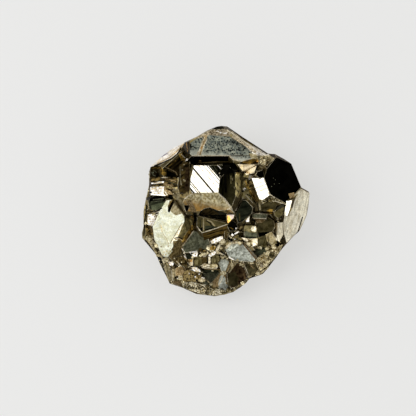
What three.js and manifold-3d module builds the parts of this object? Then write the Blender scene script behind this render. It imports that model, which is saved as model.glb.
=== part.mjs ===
import * as THREE from 'three';
import { ConvexGeometry } from 'three/addons/geometries/ConvexGeometry.js';
import * as BufferGeometryUtils from 'three/addons/utils/BufferGeometryUtils.js';
import Module from 'manifold-3d';

// Pyrite cluster: crystals with flat mirror faces, grown together on a granular crust, in millimetres.
// The crystals are laid out in a plane that faces the viewer: across to the right, up to the back,
// and height towards the viewer. The whole cluster is then leaned back on its foot, and cut flat there.

const leanBackDegrees = 10;
const middleHeight = 12;
const blockSize = 120;
const smallestStep = 0.015;

const wasm = await Module();
wasm.setup();

function solidFrom(geometry) {
  const plain = geometry.clone();
  plain.deleteAttribute('normal');
  plain.deleteAttribute('uv');
  const merged = BufferGeometryUtils.mergeVertices(plain, 1e-4);
  return new wasm.Manifold(new wasm.Mesh({
    numProp: 3,
    vertProperties: new Float32Array(merged.attributes.position.array),
    triVerts: new Uint32Array(merged.index.array),
  }));
}

function geometryOf(solid) {
  const mesh = solid.getMesh();
  const geometry = new THREE.BufferGeometry();
  geometry.setAttribute('position', new THREE.BufferAttribute(new Float32Array(mesh.vertProperties), 3));
  geometry.setIndex(new THREE.BufferAttribute(new Uint32Array(mesh.triVerts), 1));
  return geometry;
}

// Keeps what lies under a plane that passes through a point and rises by slope per mm across and up.
function keepUnder(solid, point, slope) {
  const normal = new THREE.Vector3(slope[0], slope[1], -1).normalize();
  return solid.trimByPlane(normal.toArray(), normal.dot(new THREE.Vector3(...point)));
}

// Keeps what lies over such a plane.
function keepOver(solid, point, slope) {
  const normal = new THREE.Vector3(-slope[0], -slope[1], 1).normalize();
  return solid.trimByPlane(normal.toArray(), normal.dot(new THREE.Vector3(...point)));
}

function middleOf(outline) {
  const total = outline.reduce((sum, corner) => [sum[0] + corner[0], sum[1] + corner[1]], [0, 0]);
  return [total[0] / outline.length, total[1] / outline.length];
}

// Side faces falling away from each edge of an outline, with the given drop per mm outwards.
function cutSides(solid, outline, heightAt, lean, falls) {
  outline.forEach((corner, index) => {
    const next = outline[(index + 1) % outline.length];
    const length = Math.hypot(next[0] - corner[0], next[1] - corner[1]);
    const outwards = [(next[1] - corner[1]) / length, (corner[0] - next[0]) / length];
    const fall = Array.isArray(falls) ? falls[index] : falls;
    const slope = [lean[0] - fall * outwards[0], lean[1] - fall * outwards[1]];
    solid = keepUnder(solid, [corner[0], corner[1], heightAt(corner)], slope);
  });
  return solid;
}

// A crystal: a flat top face with the given outline, and a side face falling from each of its edges.
// An outer outline, where there is one, cuts the crystal off with steeper sides further out.
// Its underside rises outwards, as that of a crystal that juts out of a cluster.
function crystal({ outline, height, lean = [0, 0], falls = 2.5, depth = 9, outer, outerLevel, outerFalls = 4 }) {
  const middle = middleOf(outline);
  const heightAt = ([across, up]) => height + lean[0] * (across - middle[0]) + lean[1] * (up - middle[1]);
  let solid = solidFrom(new THREE.BoxGeometry(blockSize, blockSize, blockSize));
  solid = keepUnder(solid, [...middle, height], lean);
  solid = cutSides(solid, outline, heightAt, lean, falls);
  if (outer) {
    solid = cutSides(solid, outer, () => outerLevel, [0, 0], outerFalls);
  }
  const reach = Math.hypot(...middle) || 1;
  const undercut = [0.7 * middle[0] / reach, 0.7 * middle[1] / reach];
  return keepOver(solid, [...middle, height - depth], undercut);
}

// The outline of the whole cluster, seen from the viewer's side
const outline = [
  [-0.9, 25.4], [0.8, 25.4], [5, 22.5], [13, 17.3], [15, 17.1], [17.5, 15.7], [19.8, 14.2], [21.2, 11],
  [22.8, 7.2], [25, 6], [25.3, 5.4], [25, 2], [24.5, -1], [23.5, -3.5], [22.2, -6], [20.5, -7.5],
  [17.2, -11.2], [15.5, -13.8], [12.9, -17.2], [11.5, -18.8], [7.5, -20.2], [6.5, -21.5], [4.5, -23],
  [2.5, -24.3], [0, -25], [-3, -25.5], [-8.5, -24.8], [-12.5, -23], [-16.5, -21.7], [-17.3, -19.9],
  [-19.3, -16], [-20.5, -13], [-24.7, -8], [-24.8, -6.5], [-24.3, -4.5], [-24.3, 0], [-23.7, 3],
  [-22.6, 8], [-22.5, 12], [-22, 13.5], [-18.2, 16.9], [-15.4, 18.9], [-12.5, 20.4], [-8.5, 22.1],
  [-5, 24.2], [-2.5, 25.2],
].reverse();
const footWidth = 0.62;
const rimHeight = 0.4;
const rimRise = { across: 0.03, up: 0.12 };
const roughness = 0.07;

// Levels of the outer skin: its width, and how far it is from the floor (0) to the rim (1)
const skinLevels = [
  { width: footWidth, rise: -1 },
  { width: footWidth, rise: 0 },
  { width: 0.84, rise: 0.45 },
  { width: 1, rise: 1 },
  { width: 1, rise: 1.25 },
  { width: 0.94, rise: 3 },
];

let seed = 20;
function chance() {
  seed = (seed * 16807) % 2147483647;
  return seed / 2147483647;
}

function floorHeight(up) {
  const lean = THREE.MathUtils.degToRad(leanBackDegrees);
  return (-middleHeight - up * Math.sin(lean)) / Math.cos(lean);
}

function rimLevel(across, up) {
  return rimHeight + rimRise.across * across + rimRise.up * up;
}

// The outer skin: the outline drawn through all the levels, widest at the rim and narrow at the foot
function skin() {
  const steps = skinLevels.length - 1;
  const shape = new THREE.Shape(outline.map((corner) => new THREE.Vector2(...corner)));
  const geometry = new THREE.ExtrudeGeometry(shape, { depth: steps, steps, bevelEnabled: false });
  const places = geometry.attributes.position;
  const nudges = new Map();
  for (let index = 0; index < places.count; index += 1) {
    const across = places.getX(index);
    const up = places.getY(index);
    const level = Math.round(places.getZ(index));
    const { width, rise } = skinLevels[level];
    const key = `${across} ${up} ${level}`;
    if (!nudges.has(key)) {
      nudges.set(key, 1 + (level === 1 || level === 2 ? roughness * (chance() - 0.5) * 2 : 0));
    }
    const scale = width * nudges.get(key);
    const floor = floorHeight(up * scale);
    const rim = rimLevel(across, up);
    places.setXYZ(index, across * scale, up * scale, floor + rise * (rim - floor));
  }
  return solidFrom(geometry);
}

// The granular lump under the crystals, higher in the middle
const shoulder = [
  [-12, 15, 4.5], [0, 19, 6.5], [10, 14, 6], [17, 9, 5.5], [18, -2, 2.6], [13, -8, 1], [6, -16, -1.2],
  [-2, -20, -2], [-12, -17, -1.6], [-20, -6, 0.8], [-19, 6, 2.8], [-6, 8, 6.8], [2, 2, 5], [4, -6, 2.4],
];

function lump() {
  const ring = (drop) => outline.map(([across, up]) =>
    new THREE.Vector3(across * 1.03, up * 1.03, rimLevel(across, up) - drop));
  const dome = shoulder.map((point) => new THREE.Vector3(...point));
  return solidFrom(new ConvexGeometry([...ring(25), ...ring(0), ...dome]));
}

const crystals = [
  // Slate-grey crystal at the back, with a bevelled rim and a striped side to the right
  { outline: [[-9.6, 16.25], [2.2, 16.2], [9, 16.6], [7, 18.6], [3, 21.3], [1.5, 22.2], [-4.5, 22.7],
      [-8.5, 21.5], [-10.3, 20.2], [-10.7, 17.5]],
    height: 9.6, lean: [0.02, -0.13], falls: [2.2, 2.2, 0.6, 0.35, 0.35, 0.35, 0.35, 0.5, 1.2, 1.5], depth: 12,
    outer: [[-11, 15.8], [11.4, 15.8], [10.9, 16.8], [1.8, 23.3], [-0.4, 25.2], [-0.9, 25.4], [-2.5, 25.2],
      [-5, 24.2], [-8.5, 22.1], [-11, 20.9]],
    outerLevel: 8.4, outerFalls: [2.2, 1.5, 4, 4, 4, 7, 7, 7, 7, 3] },
  { outline: [[2.4, 15.3], [4.5, 14.8], [6.6, 14.9], [9.2, 16.4], [7, 18.5], [3, 21], [0.8, 18.5], [1.3, 16.3]],
    height: 9.75, lean: [0.02, -0.13], falls: [2, 2, 2, 0.8, 3, 3, 3, 3], depth: 8 },
  // Large crystal in the middle: a bright striped top, a dark side to the right and a brown side in front
  { outline: [[-9.6, 5.5], [-1.9, 5.6], [-1.4, 9.8], [-5.2, 14], [-9.8, 14], [-10.1, 10], [-10.8, 7.3]],
    height: 9.1, lean: [0.287, -0.14], falls: [0.5, 0.49, 0.3, 6, 3, 2.5, 0.8],
    outer: [[-11.6, -0.8], [3, -0.8], [5, 5.5], [5.2, 11.8], [2.4, 15.1], [-1, 14.9], [-10, 14.1], [-12.3, 8],
      [-12.5, 3]],
    outerLevel: 6, outerFalls: [3, 3, 3, 2, 3, 4, 4, 3, 2] },
  // The brown side goes on to the left in a rounded shoulder
  { outline: [[-11.4, -0.9], [-7, -0.9], [-7, 5.4], [-9.2, 5.3], [-10.6, 4.8], [-11.9, 3.9], [-12.4, 2.8]],
    height: 7.9, lean: [0.28, 0.36], falls: [3, 3, 3, 2, 2, 1.5, 1.5], depth: 7 },
  // Olive crystal in front of it, with a bright spark at its right
  { outline: [[-8.2, -1.1], [-8.3, -4.3], [-6.8, -6.3], [0.7, -3.8], [0.7, -3.3]],
    height: 5.4, lean: [0.05, -0.12], falls: [1.5, 2.4, 1, 0.9, 2] },
  { outline: [[0.7, -0.9], [0.9, -3.5], [2.6, -2], [2.9, -0.9]], height: 6.2, lean: [0.35, 0.2] },
  // Pale crystal on the left, with two long bands down its right side
  { outline: [[-17.4, 3.3], [-19.5, 0], [-21.5, -4.5], [-21, -8.3], [-18.7, -13], [-17, -13.3], [-15, -10],
      [-11.7, -4.4], [-11.8, -1], [-12.3, 1.5], [-14.8, 3.5]],
    height: 5, lean: [0.36, 0.06], falls: [2, 1.5, 1.5, 1.8, 2, 1.2, 0.55, 0.6, 1.6, 2, 2],
    outer: [[-16, -14.5], [-13.9, -10.7], [-9.7, -3.9], [-10, -2.8], [-11.4, -1.2], [-11.6, 2.2], [-14.6, 4.3],
      [-17.4, 4.2], [-24, -1], [-24, -12], [-18.5, -16]],
    outerLevel: 5.4, outerFalls: [2.2, 1.5, 2.2, 2.2, 2.2, 2.2, 2.2, 2.2, 2.2, 2.2, 2.2] },
  // Black crystal at the upper right, and the bright face on its left
  { outline: [[11.6, 10], [13.4, 5], [18.2, 2.4], [22.7, 7.2], [19.8, 14.2], [15.3, 16.2], [12.6, 12.8]],
    height: 8, falls: [2.5, 1.5, 6, 4, 2.5, 2.4, 2.4], depth: 11 },
  { outline: [[7.9, 10], [9, 7], [10.1, 3.7], [11.3, 3.4], [13.3, 4.8], [12.4, 8.5], [11.8, 10]],
    height: 7.3, lean: [0.31, 0.05], falls: [1.1, 1.1, 1.5, 2, 3, 3, 2] },
  { outline: [[9.1, 10.8], [10.5, 9.8], [11.6, 10.2], [11.6, 11.6], [11, 12.2], [9.7, 11.9]], height: 7.8 },
  // Grey flank on the right
  { outline: [[19, 6], [17.3, -4], [17.6, -6.5], [18.4, -9.4], [20, -8.1], [23, -4.5], [24.3, -1.5],
      [24.9, 2], [25.3, 5.4], [22.7, 6.8]],
    height: 6.4, lean: [-0.42, 0.05], falls: [3, 3, 3, 3, 3, 3, 3, 3, 3, 2] },
  { outline: [[18.3, 3.2], [17.6, -1.3], [18.7, -1.2], [19.5, 1.2], [20, 3.4]], height: 8.1,
    lean: [0.33, 0.05] },
  // Dark crystals at the upper left
  { outline: [[-18.6, 12.7], [-18.2, 10.2], [-13.6, 10], [-12.6, 16.9]], height: 6.5, lean: [-0.1, -0.05],
    falls: [2, 2, 2, 0.8], outer: [[-20.5, 12.9], [-20.5, 8], [-11, 8], [-11, 18.7]], outerLevel: 6,
    outerFalls: [4, 4, 4, 3.5] },
  { outline: [[-13.8, 5.5], [-10.6, 5.2], [-10.3, 16], [-12.6, 17.2], [-13.9, 10]], height: 6, lean: [0.1, 0] },
  { outline: [[-22.2, 13.3], [-22.4, 10], [-18.3, 9.9], [-17.6, 14.6]], height: 4.5 },
  // Stepped bands down the left
  { outline: [[-21.9, 9.9], [-21.9, 8.9], [-18, 8.3], [-14, 7.4], [-13.6, 9.8], [-18, 10.3]],
    height: 5, lean: [0.3, 0.1] },
  { outline: [[-21.9, 8.6], [-21.8, 7.3], [-17.8, 6.9], [-14, 6.5], [-14, 7.6], [-18, 8.4]],
    height: 4.6, lean: [0.3, 0.1] },
  { outline: [[-21.9, 7], [-22, 4.9], [-17.8, 4.6], [-15, 5.2], [-17.5, 7.2]], height: 4.2, lean: [0.33, 0] },
  { outline: [[-17, 5], [-15, 3.4], [-12.8, 3.3], [-12.5, 6.3], [-14.5, 7.2]], height: 4.8, lean: [0.2, 0.2] },
  { outline: [[-22.9, 3.2], [-22.6, 0.9], [-21, 0.2], [-18.4, 0.8], [-16.9, 3], [-17.5, 4.3], [-19.5, 4.8],
      [-21.1, 4.8]], height: 3.4, lean: [0.02, -0.02] },
  { outline: [[-22.9, -1], [-23.1, -3.9], [-21, -4.2], [-19.6, -1.2], [-19.5, 0]], height: 2.2,
    lean: [0.3, 0.05] },
  { outline: [[-24.6, -4.8], [-24.7, -7.8], [-20.3, -13], [-18.8, -13.6], [-20.8, -9], [-21.5, -5.2]],
    height: 0.5, lean: [0.5, 0.3] },
  { outline: [[-15.3, -9.3], [-15.4, -11.5], [-15.2, -13.9], [-13.6, -13.7], [-12.2, -12.3], [-12.8, -10.3],
      [-13.3, -8.6], [-14.6, -8.5]], height: 3.4, lean: [0.1, 0.2] },
  // Crystals across the front
  { outline: [[-9.4, -5.7], [-12.6, -10.5], [-11.9, -12.3], [-8.3, -12.2], [-5.6, -11.6], [-4.4, -9.5],
      [-5, -7.8], [-6.8, -6.4]], height: 3.5, lean: [0.06, -0.1], falls: [0.8, 2.5, 2.5, 2.5, 2.5, 2.5, 2, 2] },
  { outline: [[-4.9, -8.6], [-4, -9.8], [-0.3, -8.6], [-0.6, -7.2]], height: 3.3, lean: [0.3, -0.1] },
  { outline: [[0.1, -11.2], [1.3, -13.8], [3, -14.7], [8.4, -15.1], [9.5, -13.8], [6.2, -9.9], [4.9, -8.6],
      [2.9, -8.7]], height: 2.8, lean: [0.26, -0.24], falls: [2, 2, 4, 4, 4, 3, 2, 2] },
  { outline: [[-1.6, -10.8], [-0.2, -12.4], [0.6, -10.5], [0, -9.2]], height: 1.8 },
  { outline: [[-1.9, -15.2], [-0.9, -18.1], [0.2, -18.1], [1.3, -15.5], [1.2, -13.9], [0.3, -13.4],
      [-1, -13.8]], height: 0.8, lean: [0.02, -0.2] },
  { outline: [[-1.9, -22.9], [0.3, -23.7], [1.1, -22.4], [0.9, -20], [0.2, -18.5], [-1.1, -21]],
    height: -1.6, lean: [0.02, -0.2] },
  { outline: [[0.7, -19], [1, -21.2], [2, -23.1], [4.5, -22.1], [6.1, -20.8], [6.9, -19.4], [6, -17.1],
      [5, -15.7], [4, -14.7], [1.8, -17.2]], height: -0.2, lean: [-0.05, 0.05] },
  { outline: [[5.4, -15], [6.5, -17.6], [7.3, -19.1], [8.6, -18.6], [9.9, -17.7], [8.2, -15.5]], height: -0.2 },
  { outline: [[-6.6, -18.8], [-5.4, -20.3], [-4.2, -21.6], [-2.9, -20.1], [-1.5, -18.5], [-2.3, -17.3],
      [-6.4, -17.3]], height: -0.3, lean: [0, -0.05] },
  { outline: [[-7, -20.9], [-6.5, -21.8], [-4.2, -22.7], [-4.5, -21.6], [-5.3, -20.9], [-6.4, -20.5]],
    height: -1 },
  { outline: [[-4.1, -21.1], [-2.5, -23.2], [-1.3, -21.5], [0, -18.6], [-1.5, -18.5]], height: -1.3,
    lean: [0.2, 0.25] },
  // Smaller crystals crowded together at the lower left
  { outline: [[-10.6, -12.6], [-9.2, -13.6], [-8.2, -13.4], [-8, -12], [-9.3, -12.1]], height: 2.8,
    lean: [0.33, 0.05] },
  { outline: [[-7.5, -12.4], [-6.2, -13.4], [-5.8, -13.2], [-7.2, -11.9]], height: 2, lean: [0.33, 0.05] },
  { outline: [[-4.9, -13.1], [-4.6, -13.5], [-3.5, -13.5], [-2.8, -12.8], [-2.5, -12.2], [-3, -11.9],
      [-3.8, -12.1]], height: 1.8, lean: [0.33, 0.05] },
  { outline: [[-2.9, -12.2], [-2.2, -12.3], [-1.6, -11.2], [-0.9, -9.5], [-1.4, -9.3], [-2.3, -10.6]],
    height: 2.3, lean: [0.25, 0.1] },
  { outline: [[-2.5, -12.8], [-1, -12.9], [0.1, -13.3], [0, -12.9], [-1.2, -12.2], [-2.2, -12.1]],
    height: 2, lean: [0.2, 0] },
  { outline: [[-4.9, -10.5], [-4.4, -11.5], [-2.9, -11.5], [-2.4, -10.3], [-3.4, -9.9]], height: 2.2,
    lean: [-0.25, 0.25] },
  { outline: [[-12, -12.8], [-11.4, -14.1], [-10.6, -14.5], [-9.8, -14], [-9.7, -13.5], [-10.8, -12.7]],
    height: 2.6, lean: [-0.05, 0.05] },
  { outline: [[-12.3, -13.2], [-11.9, -14.3], [-11.4, -14.6], [-11.5, -13.9], [-12, -13.1]], height: 3,
    lean: [0.33, 0.05] },
  { outline: [[-14.1, -13.6], [-13.8, -15], [-12.6, -15.3], [-11.6, -14.7], [-12.2, -13.2], [-13.2, -13.2]],
    height: 2.4, lean: [-0.15, 0.1] },
  { outline: [[-12.9, -16.2], [-12, -16.7], [-11.2, -16.2], [-11.2, -14.9], [-12, -15], [-12.8, -15.5]],
    height: 1.8, lean: [0.1, -0.1] },
  { outline: [[-10.9, -14.9], [-10.9, -16.2], [-9.5, -16.2], [-9.4, -14.3], [-10.2, -14.3]], height: 1.6,
    lean: [0.3, 0.2] },
  { outline: [[-9.3, -14.3], [-9.2, -16.4], [-7.5, -16.4], [-5.4, -15], [-5.2, -13.5], [-7, -13.3],
      [-8.6, -13.5]], height: 1.3, lean: [0.1, -0.05] },
  { outline: [[-4.9, -15.6], [-4.2, -15.6], [-4.2, -13.8], [-4.6, -13.4], [-4.9, -13.6]], height: 1.5,
    lean: [0.3, 0] },
  { outline: [[-4.1, -15.7], [-2, -15.9], [-1.6, -14.5], [-1.5, -13.3], [-2.8, -13], [-4, -14.2]],
    height: 1.1, lean: [-0.1, 0.2] },
  { outline: [[-7.3, -16.1], [-6.7, -17.1], [-2.3, -17.1], [-1.9, -16.4], [-2.1, -16], [-4, -15.8],
      [-6.3, -15.6]], height: 0.7, lean: [0.25, -0.1] },
  { outline: [[0.1, -18.2], [0.9, -18.1], [1.8, -16.3], [2.3, -14.9], [1.4, -14.5], [1, -15.9]],
    height: 0.5, lean: [-0.15, 0.15] },
  { outline: [[-16.8, -15.2], [-16.4, -16.2], [-15.6, -16.3], [-15.2, -15.6], [-16, -15]], height: 0.9,
    lean: [0.33, 0.05] },
  { outline: [[-17.6, -15.5], [-16.6, -17], [-16.2, -16.9], [-17.2, -15.1]], height: 0.5,
    lean: [0.33, 0.05] },
  { outline: [[-14.7, -14.8], [-13.1, -16.8], [-12.7, -16.6], [-14.3, -14.6]], height: 1.7,
    lean: [0.3, 0.1] },
  { outline: [[-14.9, -18], [-14.6, -19.3], [-12.6, -19.3], [-12.2, -17.9], [-12.6, -17], [-13.6, -16.4],
      [-14.6, -17]], height: 0.2, lean: [0.2, 0.1] },
  { outline: [[-16.1, -17.6], [-15.9, -20.8], [-15.1, -20.8], [-15, -17.2], [-15.4, -17]], height: -0.9,
    lean: [0.25, 0.1] },
  { outline: [[-18.3, -16.8], [-16.5, -20.6], [-16.1, -20.6], [-16.2, -17.6], [-17.5, -15.6]],
    height: -0.9, lean: [0.1, 0.2] },
  { outline: [[-12.4, -19.5], [-12, -20.9], [-8.4, -20.9], [-6.9, -19.2], [-7.2, -18.2], [-9, -17.3],
      [-11.8, -17.4]], height: 0.2, lean: [0.03, 0.15] },
  { outline: [[-9.9, -16.7], [-9.2, -17.9], [-8.2, -18.2], [-7, -18.1], [-8, -16.8], [-9, -16.5]],
    height: 1.2, lean: [0.33, 0.05] },
  { outline: [[-7.5, -20], [-6.9, -20.4], [-6.1, -20.3], [-6, -19.8], [-6.9, -19.6]], height: 0.1,
    lean: [0.33, 0.05] },
  { outline: [[-15.9, -21.4], [-13, -22.7], [-12.5, -21.7], [-12.6, -20.7], [-14.8, -20.8]],
    height: -1.7, lean: [0.1, 0.2] },
  // Pale ledge along the front
  { outline: [[-12.7, -21.7], [-12.3, -22.8], [-8.6, -24.6], [-5, -25.2], [-3.4, -23.4], [-6.5, -22],
      [-9.5, -21.1], [-11, -20.9]], height: -1.4, lean: [0.05, 0.25], falls: 1.2 },
  { outline: [[-4.8, -25.2], [-3, -25.3], [0, -24.8], [2.6, -24], [4.6, -22.9], [-3.4, -23.3]],
    height: -1.9, lean: [0.05, 0.25], falls: 1.2 },
  // Smaller crystals crowded together in the middle
  { outline: [[0.7, -4.2], [1.5, -5.9], [3.2, -5.7], [3.9, -4.5], [3.4, -3.4], [2.3, -2.7]],
    height: 5.2, lean: [-0.1, 0.1] },
  { outline: [[-0.1, -8], [0.9, -8], [1.2, -6.6], [0.9, -5], [0, -5.2]], height: 4, lean: [0.1, 0.3] },
  { outline: [[2.8, -6.6], [3.2, -6.9], [4.4, -6.1], [3.9, -5.7]], height: 4.2, lean: [0.33, 0.05] },
  { outline: [[1.9, -7], [2.3, -7.5], [2.8, -7], [2.3, -6.5]], height: 4, lean: [0.33, 0.05] },
  { outline: [[2.6, -7.7], [4.2, -8.8], [4.7, -8.3], [4, -6.9], [2.9, -6.9]], height: 3.4,
    lean: [0.1, -0.1] },
  { outline: [[2.2, -7.9], [3.6, -9], [4.2, -8.8], [2.6, -7.6]], height: 3.5, lean: [0.33, 0.05] },
  { outline: [[1.1, -8.4], [2, -9.3], [2.8, -8.6], [2.2, -7.7], [1.6, -7.7]], height: 3.1,
    lean: [-0.1, -0.1] },
  { outline: [[4.9, -7.9], [6.8, -8.9], [7, -8.4], [6, -7.7]], height: 3.6, lean: [0.33, 0.05] },
  { outline: [[5.8, -2.1], [6.6, -3.1], [7.3, -3.1], [7.4, -1.4], [7, -1.3]], height: 5.4,
    lean: [0.33, 0.05] },
  // Small crystals down the right
  { outline: [[7.5, -8.3], [8.5, -10.4], [9.9, -9.6], [9.9, -7.7]], height: 3, lean: [0.4, 0.1] },
  { outline: [[9.9, -7.8], [9.8, -9.9], [12.3, -10.6], [12.9, -9], [12.6, -6.9]], height: 2.9,
    lean: [-0.2, 0.1] },
  { outline: [[7.9, -12], [8.8, -12.9], [10.2, -13.4], [12.1, -12.3], [12.6, -11], [10, -11.1]], height: 1.6,
    lean: [0, -0.12] },
  { outline: [[5.6, -9], [7.5, -12], [9.5, -11.3], [8.3, -10.4], [7.1, -8.5]], height: 2.5, lean: [0.25, 0] },
  { outline: [[5.7, -4.1], [5.9, -7.7], [7.1, -8.3], [9.7, -7.8], [9.9, -6], [9.4, -4.5], [8, -4.2]],
    height: 4, lean: [0.1, 0.1] },
  { outline: [[8.2, -5.7], [9.4, -6.1], [9.3, -4.4], [8.9, -4.5]], height: 4.5, lean: [0.33, 0.05] },
  { outline: [[9.1, -3.2], [9.7, -6.1], [10.3, -8], [12, -7.1], [14.3, -6], [15, -4.5], [14.6, -2.7],
      [13, -1.7], [10, -2.4]], height: 4.4, lean: [-0.02, 0] },
  { outline: [[12.6, -7], [13, -9.6], [14.5, -10.3], [15.5, -9.5], [15.8, -8.3], [14.3, -6.2]], height: 2.2,
    lean: [0.2, 0.15] },
  { outline: [[15.7, -4.4], [15.7, -8.1], [16.5, -9.6], [17.9, -8], [17.4, -5], [16.8, -3.2]], height: 3.2,
    lean: [0.3, 0] },
  { outline: [[5.4, 3.4], [3.2, -1], [4, -3.3], [5.2, -3.1], [8.1, -0.5], [8.4, 1.2], [6.3, 3.4]], height: 6,
    lean: [0.05, -0.03] },
  { outline: [[9.8, 2.5], [10.3, 0.2], [15, 0], [15.6, 2.6], [13.2, 4.3]], height: 5.2, lean: [0.1, 0.3] },
  { outline: [[14.8, -0.2], [14.9, -1.2], [15.9, -2.1], [17.3, -0.9], [18.6, 1.9], [17.2, 2.4], [15.6, 1.2]],
    height: 6, lean: [0.45, 0.15] },
  { outline: [[8.2, -0.9], [8.3, -1.9], [12.4, -2.2], [12.7, -0.9], [10.5, -0.4]], height: 5.2,
    lean: [0, -0.2] },
  { outline: [[3.5, 14.2], [5, 11.9], [9.5, 14.2]], height: 7.2, lean: [0.25, -0.1] },
  { outline: [[6.5, 12.4], [6.5, 10.9], [8.8, 11.4], [9.5, 13.6]], height: 6.6, lean: [0.3, 0.2] },
];

// Dark hollows between crystals: the outline, and the height and lean of their floor
const hollows = [
  { outline: [[-7.9, -1.2], [0.7, -3.4], [0.7, -0.5], [-1.2, 0], [-3.3, 0.8], [-4.5, 1.2], [-6, 0.9],
      [-7.2, 0.1]], height: 5.6, lean: [0.1, 0.5] },
  { outline: [[-12.1, 1.9], [-11.6, 0.1], [-11, 0.1], [-10.3, 1.8]], height: 5, lean: [0.2, 0.2] },
  { outline: [[-16.9, -0.2], [-16.4, -0.3], [-15.7, 1.4], [-15, 2.6], [-15.3, 3.4], [-16.2, 2.2], [-16.9, 0.6]],
    height: 3.6, lean: [0.3, 0] },
];

function hollow({ outline: corners, height, lean }) {
  const shape = new THREE.Shape(corners.map((corner) => new THREE.Vector2(...corner)));
  const well = solidFrom(new THREE.ExtrudeGeometry(shape, { depth: blockSize, bevelEnabled: false }));
  return keepOver(well, [...middleOf(corners), height], lean);
}

// Small crystals grown over the crust between the large ones: where they sit, how many and how large
const druses = [
  { area: [[-18, -16], [-16, -13.8], [-11, -12.6], [-4, -12], [-1.7, -13], [-2, -16.8], [-6.8, -17],
      [-7.4, -20], [-6, -22.6], [-12, -22.4], [-16, -20.8]], count: 12, sizes: [0.4, 0.8] },
  { area: [[-12, -22.3], [-4, -22.5], [2, -23.2], [6, -21.5], [4.6, -22.6], [0, -24.8], [-6, -25],
      [-12, -22.9]], count: 22, sizes: [0.4, 0.8] },
  { area: [[9.6, -15], [13, -12], [15, -11], [16.6, -11.5], [14, -15.6], [11.5, -18.5], [9.8, -18.5]],
    count: 18, sizes: [0.5, 1.1] },
  { area: [[9.4, 14], [12, 13.4], [14.4, 15.6], [12.6, 16.8], [9.6, 15.9]], count: 12, sizes: [0.5, 1.1] },
  { area: [[-3.6, -10], [0.6, -6], [2, -4.6], [5.6, -3.8], [5.4, -8.2], [2.6, -8.6], [0, -9.4], [-3, -11.4]],
    count: 8, sizes: [0.4, 0.9] },
  { area: [[5.3, 4], [8.4, 3], [9.2, 4], [7.4, 9.6], [7.2, 11], [5.4, 11.4]], count: 13, sizes: [0.6, 1.3] },
  { area: [[-24, 2], [-23.4, 3.2], [-22.8, 0], [-22.6, -4.5], [-23.8, -4.5]], count: 6, sizes: [0.4, 0.8] },
  { area: [[-24.2, -6], [-23, -5], [-19, -13.6], [-17.6, -15], [-18.2, -18], [-20, -14]], count: 10,
    sizes: [0.5, 1] },
  { area: [[10.4, 3.2], [11, 2.8], [15, 3], [14.8, 4], [13.2, 4]], count: 5, sizes: [0.4, 0.8] },
];

function isInside([across, up], area) {
  let inside = false;
  area.forEach((corner, index) => {
    const next = area[(index + 1) % area.length];
    const crosses = (corner[1] > up) !== (next[1] > up);
    const edge = corner[0] + (next[0] - corner[0]) * (up - corner[1]) / (next[1] - corner[1]);
    if (crosses && across < edge) inside = !inside;
  });
  return inside;
}

function placeIn(area) {
  const box = new THREE.Box2().setFromPoints(area.map((corner) => new THREE.Vector2(...corner)));
  let place;
  do {
    place = [
      THREE.MathUtils.lerp(box.min.x, box.max.x, chance()),
      THREE.MathUtils.lerp(box.min.y, box.max.y, chance()),
    ];
  } while (!isInside(place, area));
  return place;
}

// Cubes and twelve-faced crystals, turned every way and half sunk in what they grow on
function smallCrystals(ground) {
  const surface = new THREE.Mesh(geometryOf(ground));
  const caster = new THREE.Raycaster();
  const down = new THREE.Vector3(0, 0, -1);
  const grown = [];
  for (const { area, count, sizes } of druses) {
    for (let index = 0; index < count; index += 1) {
      const [across, up] = placeIn(area);
      caster.set(new THREE.Vector3(across, up, 60), down);
      const height = caster.intersectObject(surface)[0].point.z;
      const size = THREE.MathUtils.lerp(...sizes, chance() ** 2);
      const isCube = chance() < 0.5;
      const shape = isCube
        ? new THREE.BoxGeometry(size * 1.6, size * 1.6, size * 1.6)
        : new THREE.DodecahedronGeometry(size);
      const turn = new THREE.Euler(chance() * 3, chance() * 3, chance() * 3);
      shape.applyMatrix4(new THREE.Matrix4().makeRotationFromEuler(turn));
      shape.translate(across, up, height + size * 0.1);
      grown.push(solidFrom(shape));
    }
  }
  return wasm.Manifold.union(grown);
}

// Crystals on the undercut flanks, below the rim and inside the outline
const flankCount = 30;
const flankSizes = [2, 4.6];
const flankDrop = 0.8;

function flankCrystals() {
  const shape = new THREE.Shape(outline.map((corner) => new THREE.Vector2(...corner)));
  const height = 60;
  const within = new THREE.ExtrudeGeometry(shape, { depth: height, bevelEnabled: false });
  within.translate(0, 0, -height / 2);
  const grown = [];
  for (let index = 0; index < flankCount; index += 1) {
    const corner = outline[Math.floor((index + chance() * 0.5) * outline.length / flankCount)];
    const rise = THREE.MathUtils.lerp(0.3, 0.9, chance());
    const width = THREE.MathUtils.lerp(0.72, 0.86, rise);
    const [across, up] = [corner[0] * width, corner[1] * width];
    const level = THREE.MathUtils.lerp(floorHeight(up), rimLevel(across, up), rise);
    const size = THREE.MathUtils.lerp(...flankSizes, chance());
    const turned = chance() < 0.6
      ? new THREE.BoxGeometry(size * 1.6, size * 1.6, size * 1.6)
      : new THREE.DodecahedronGeometry(size);
    const turn = new THREE.Euler(chance() * 3, chance() * 3, chance() * 3);
    turned.applyMatrix4(new THREE.Matrix4().makeRotationFromEuler(turn));
    turned.translate(across, up, level);
    grown.push(solidFrom(turned));
  }
  const flanks = wasm.Manifold.union(grown).intersect(solidFrom(within));
  return keepUnder(flanks, [0, 0, rimHeight - flankDrop], [rimRise.across, rimRise.up]);
}

let cluster = wasm.Manifold.union([lump(), ...crystals.map(crystal)]);
cluster = cluster.subtract(wasm.Manifold.union(hollows.map(hollow)));
cluster = cluster.add(smallCrystals(cluster)).intersect(skin()).add(flankCrystals());
cluster = cluster.simplify(smallestStep);

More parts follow.
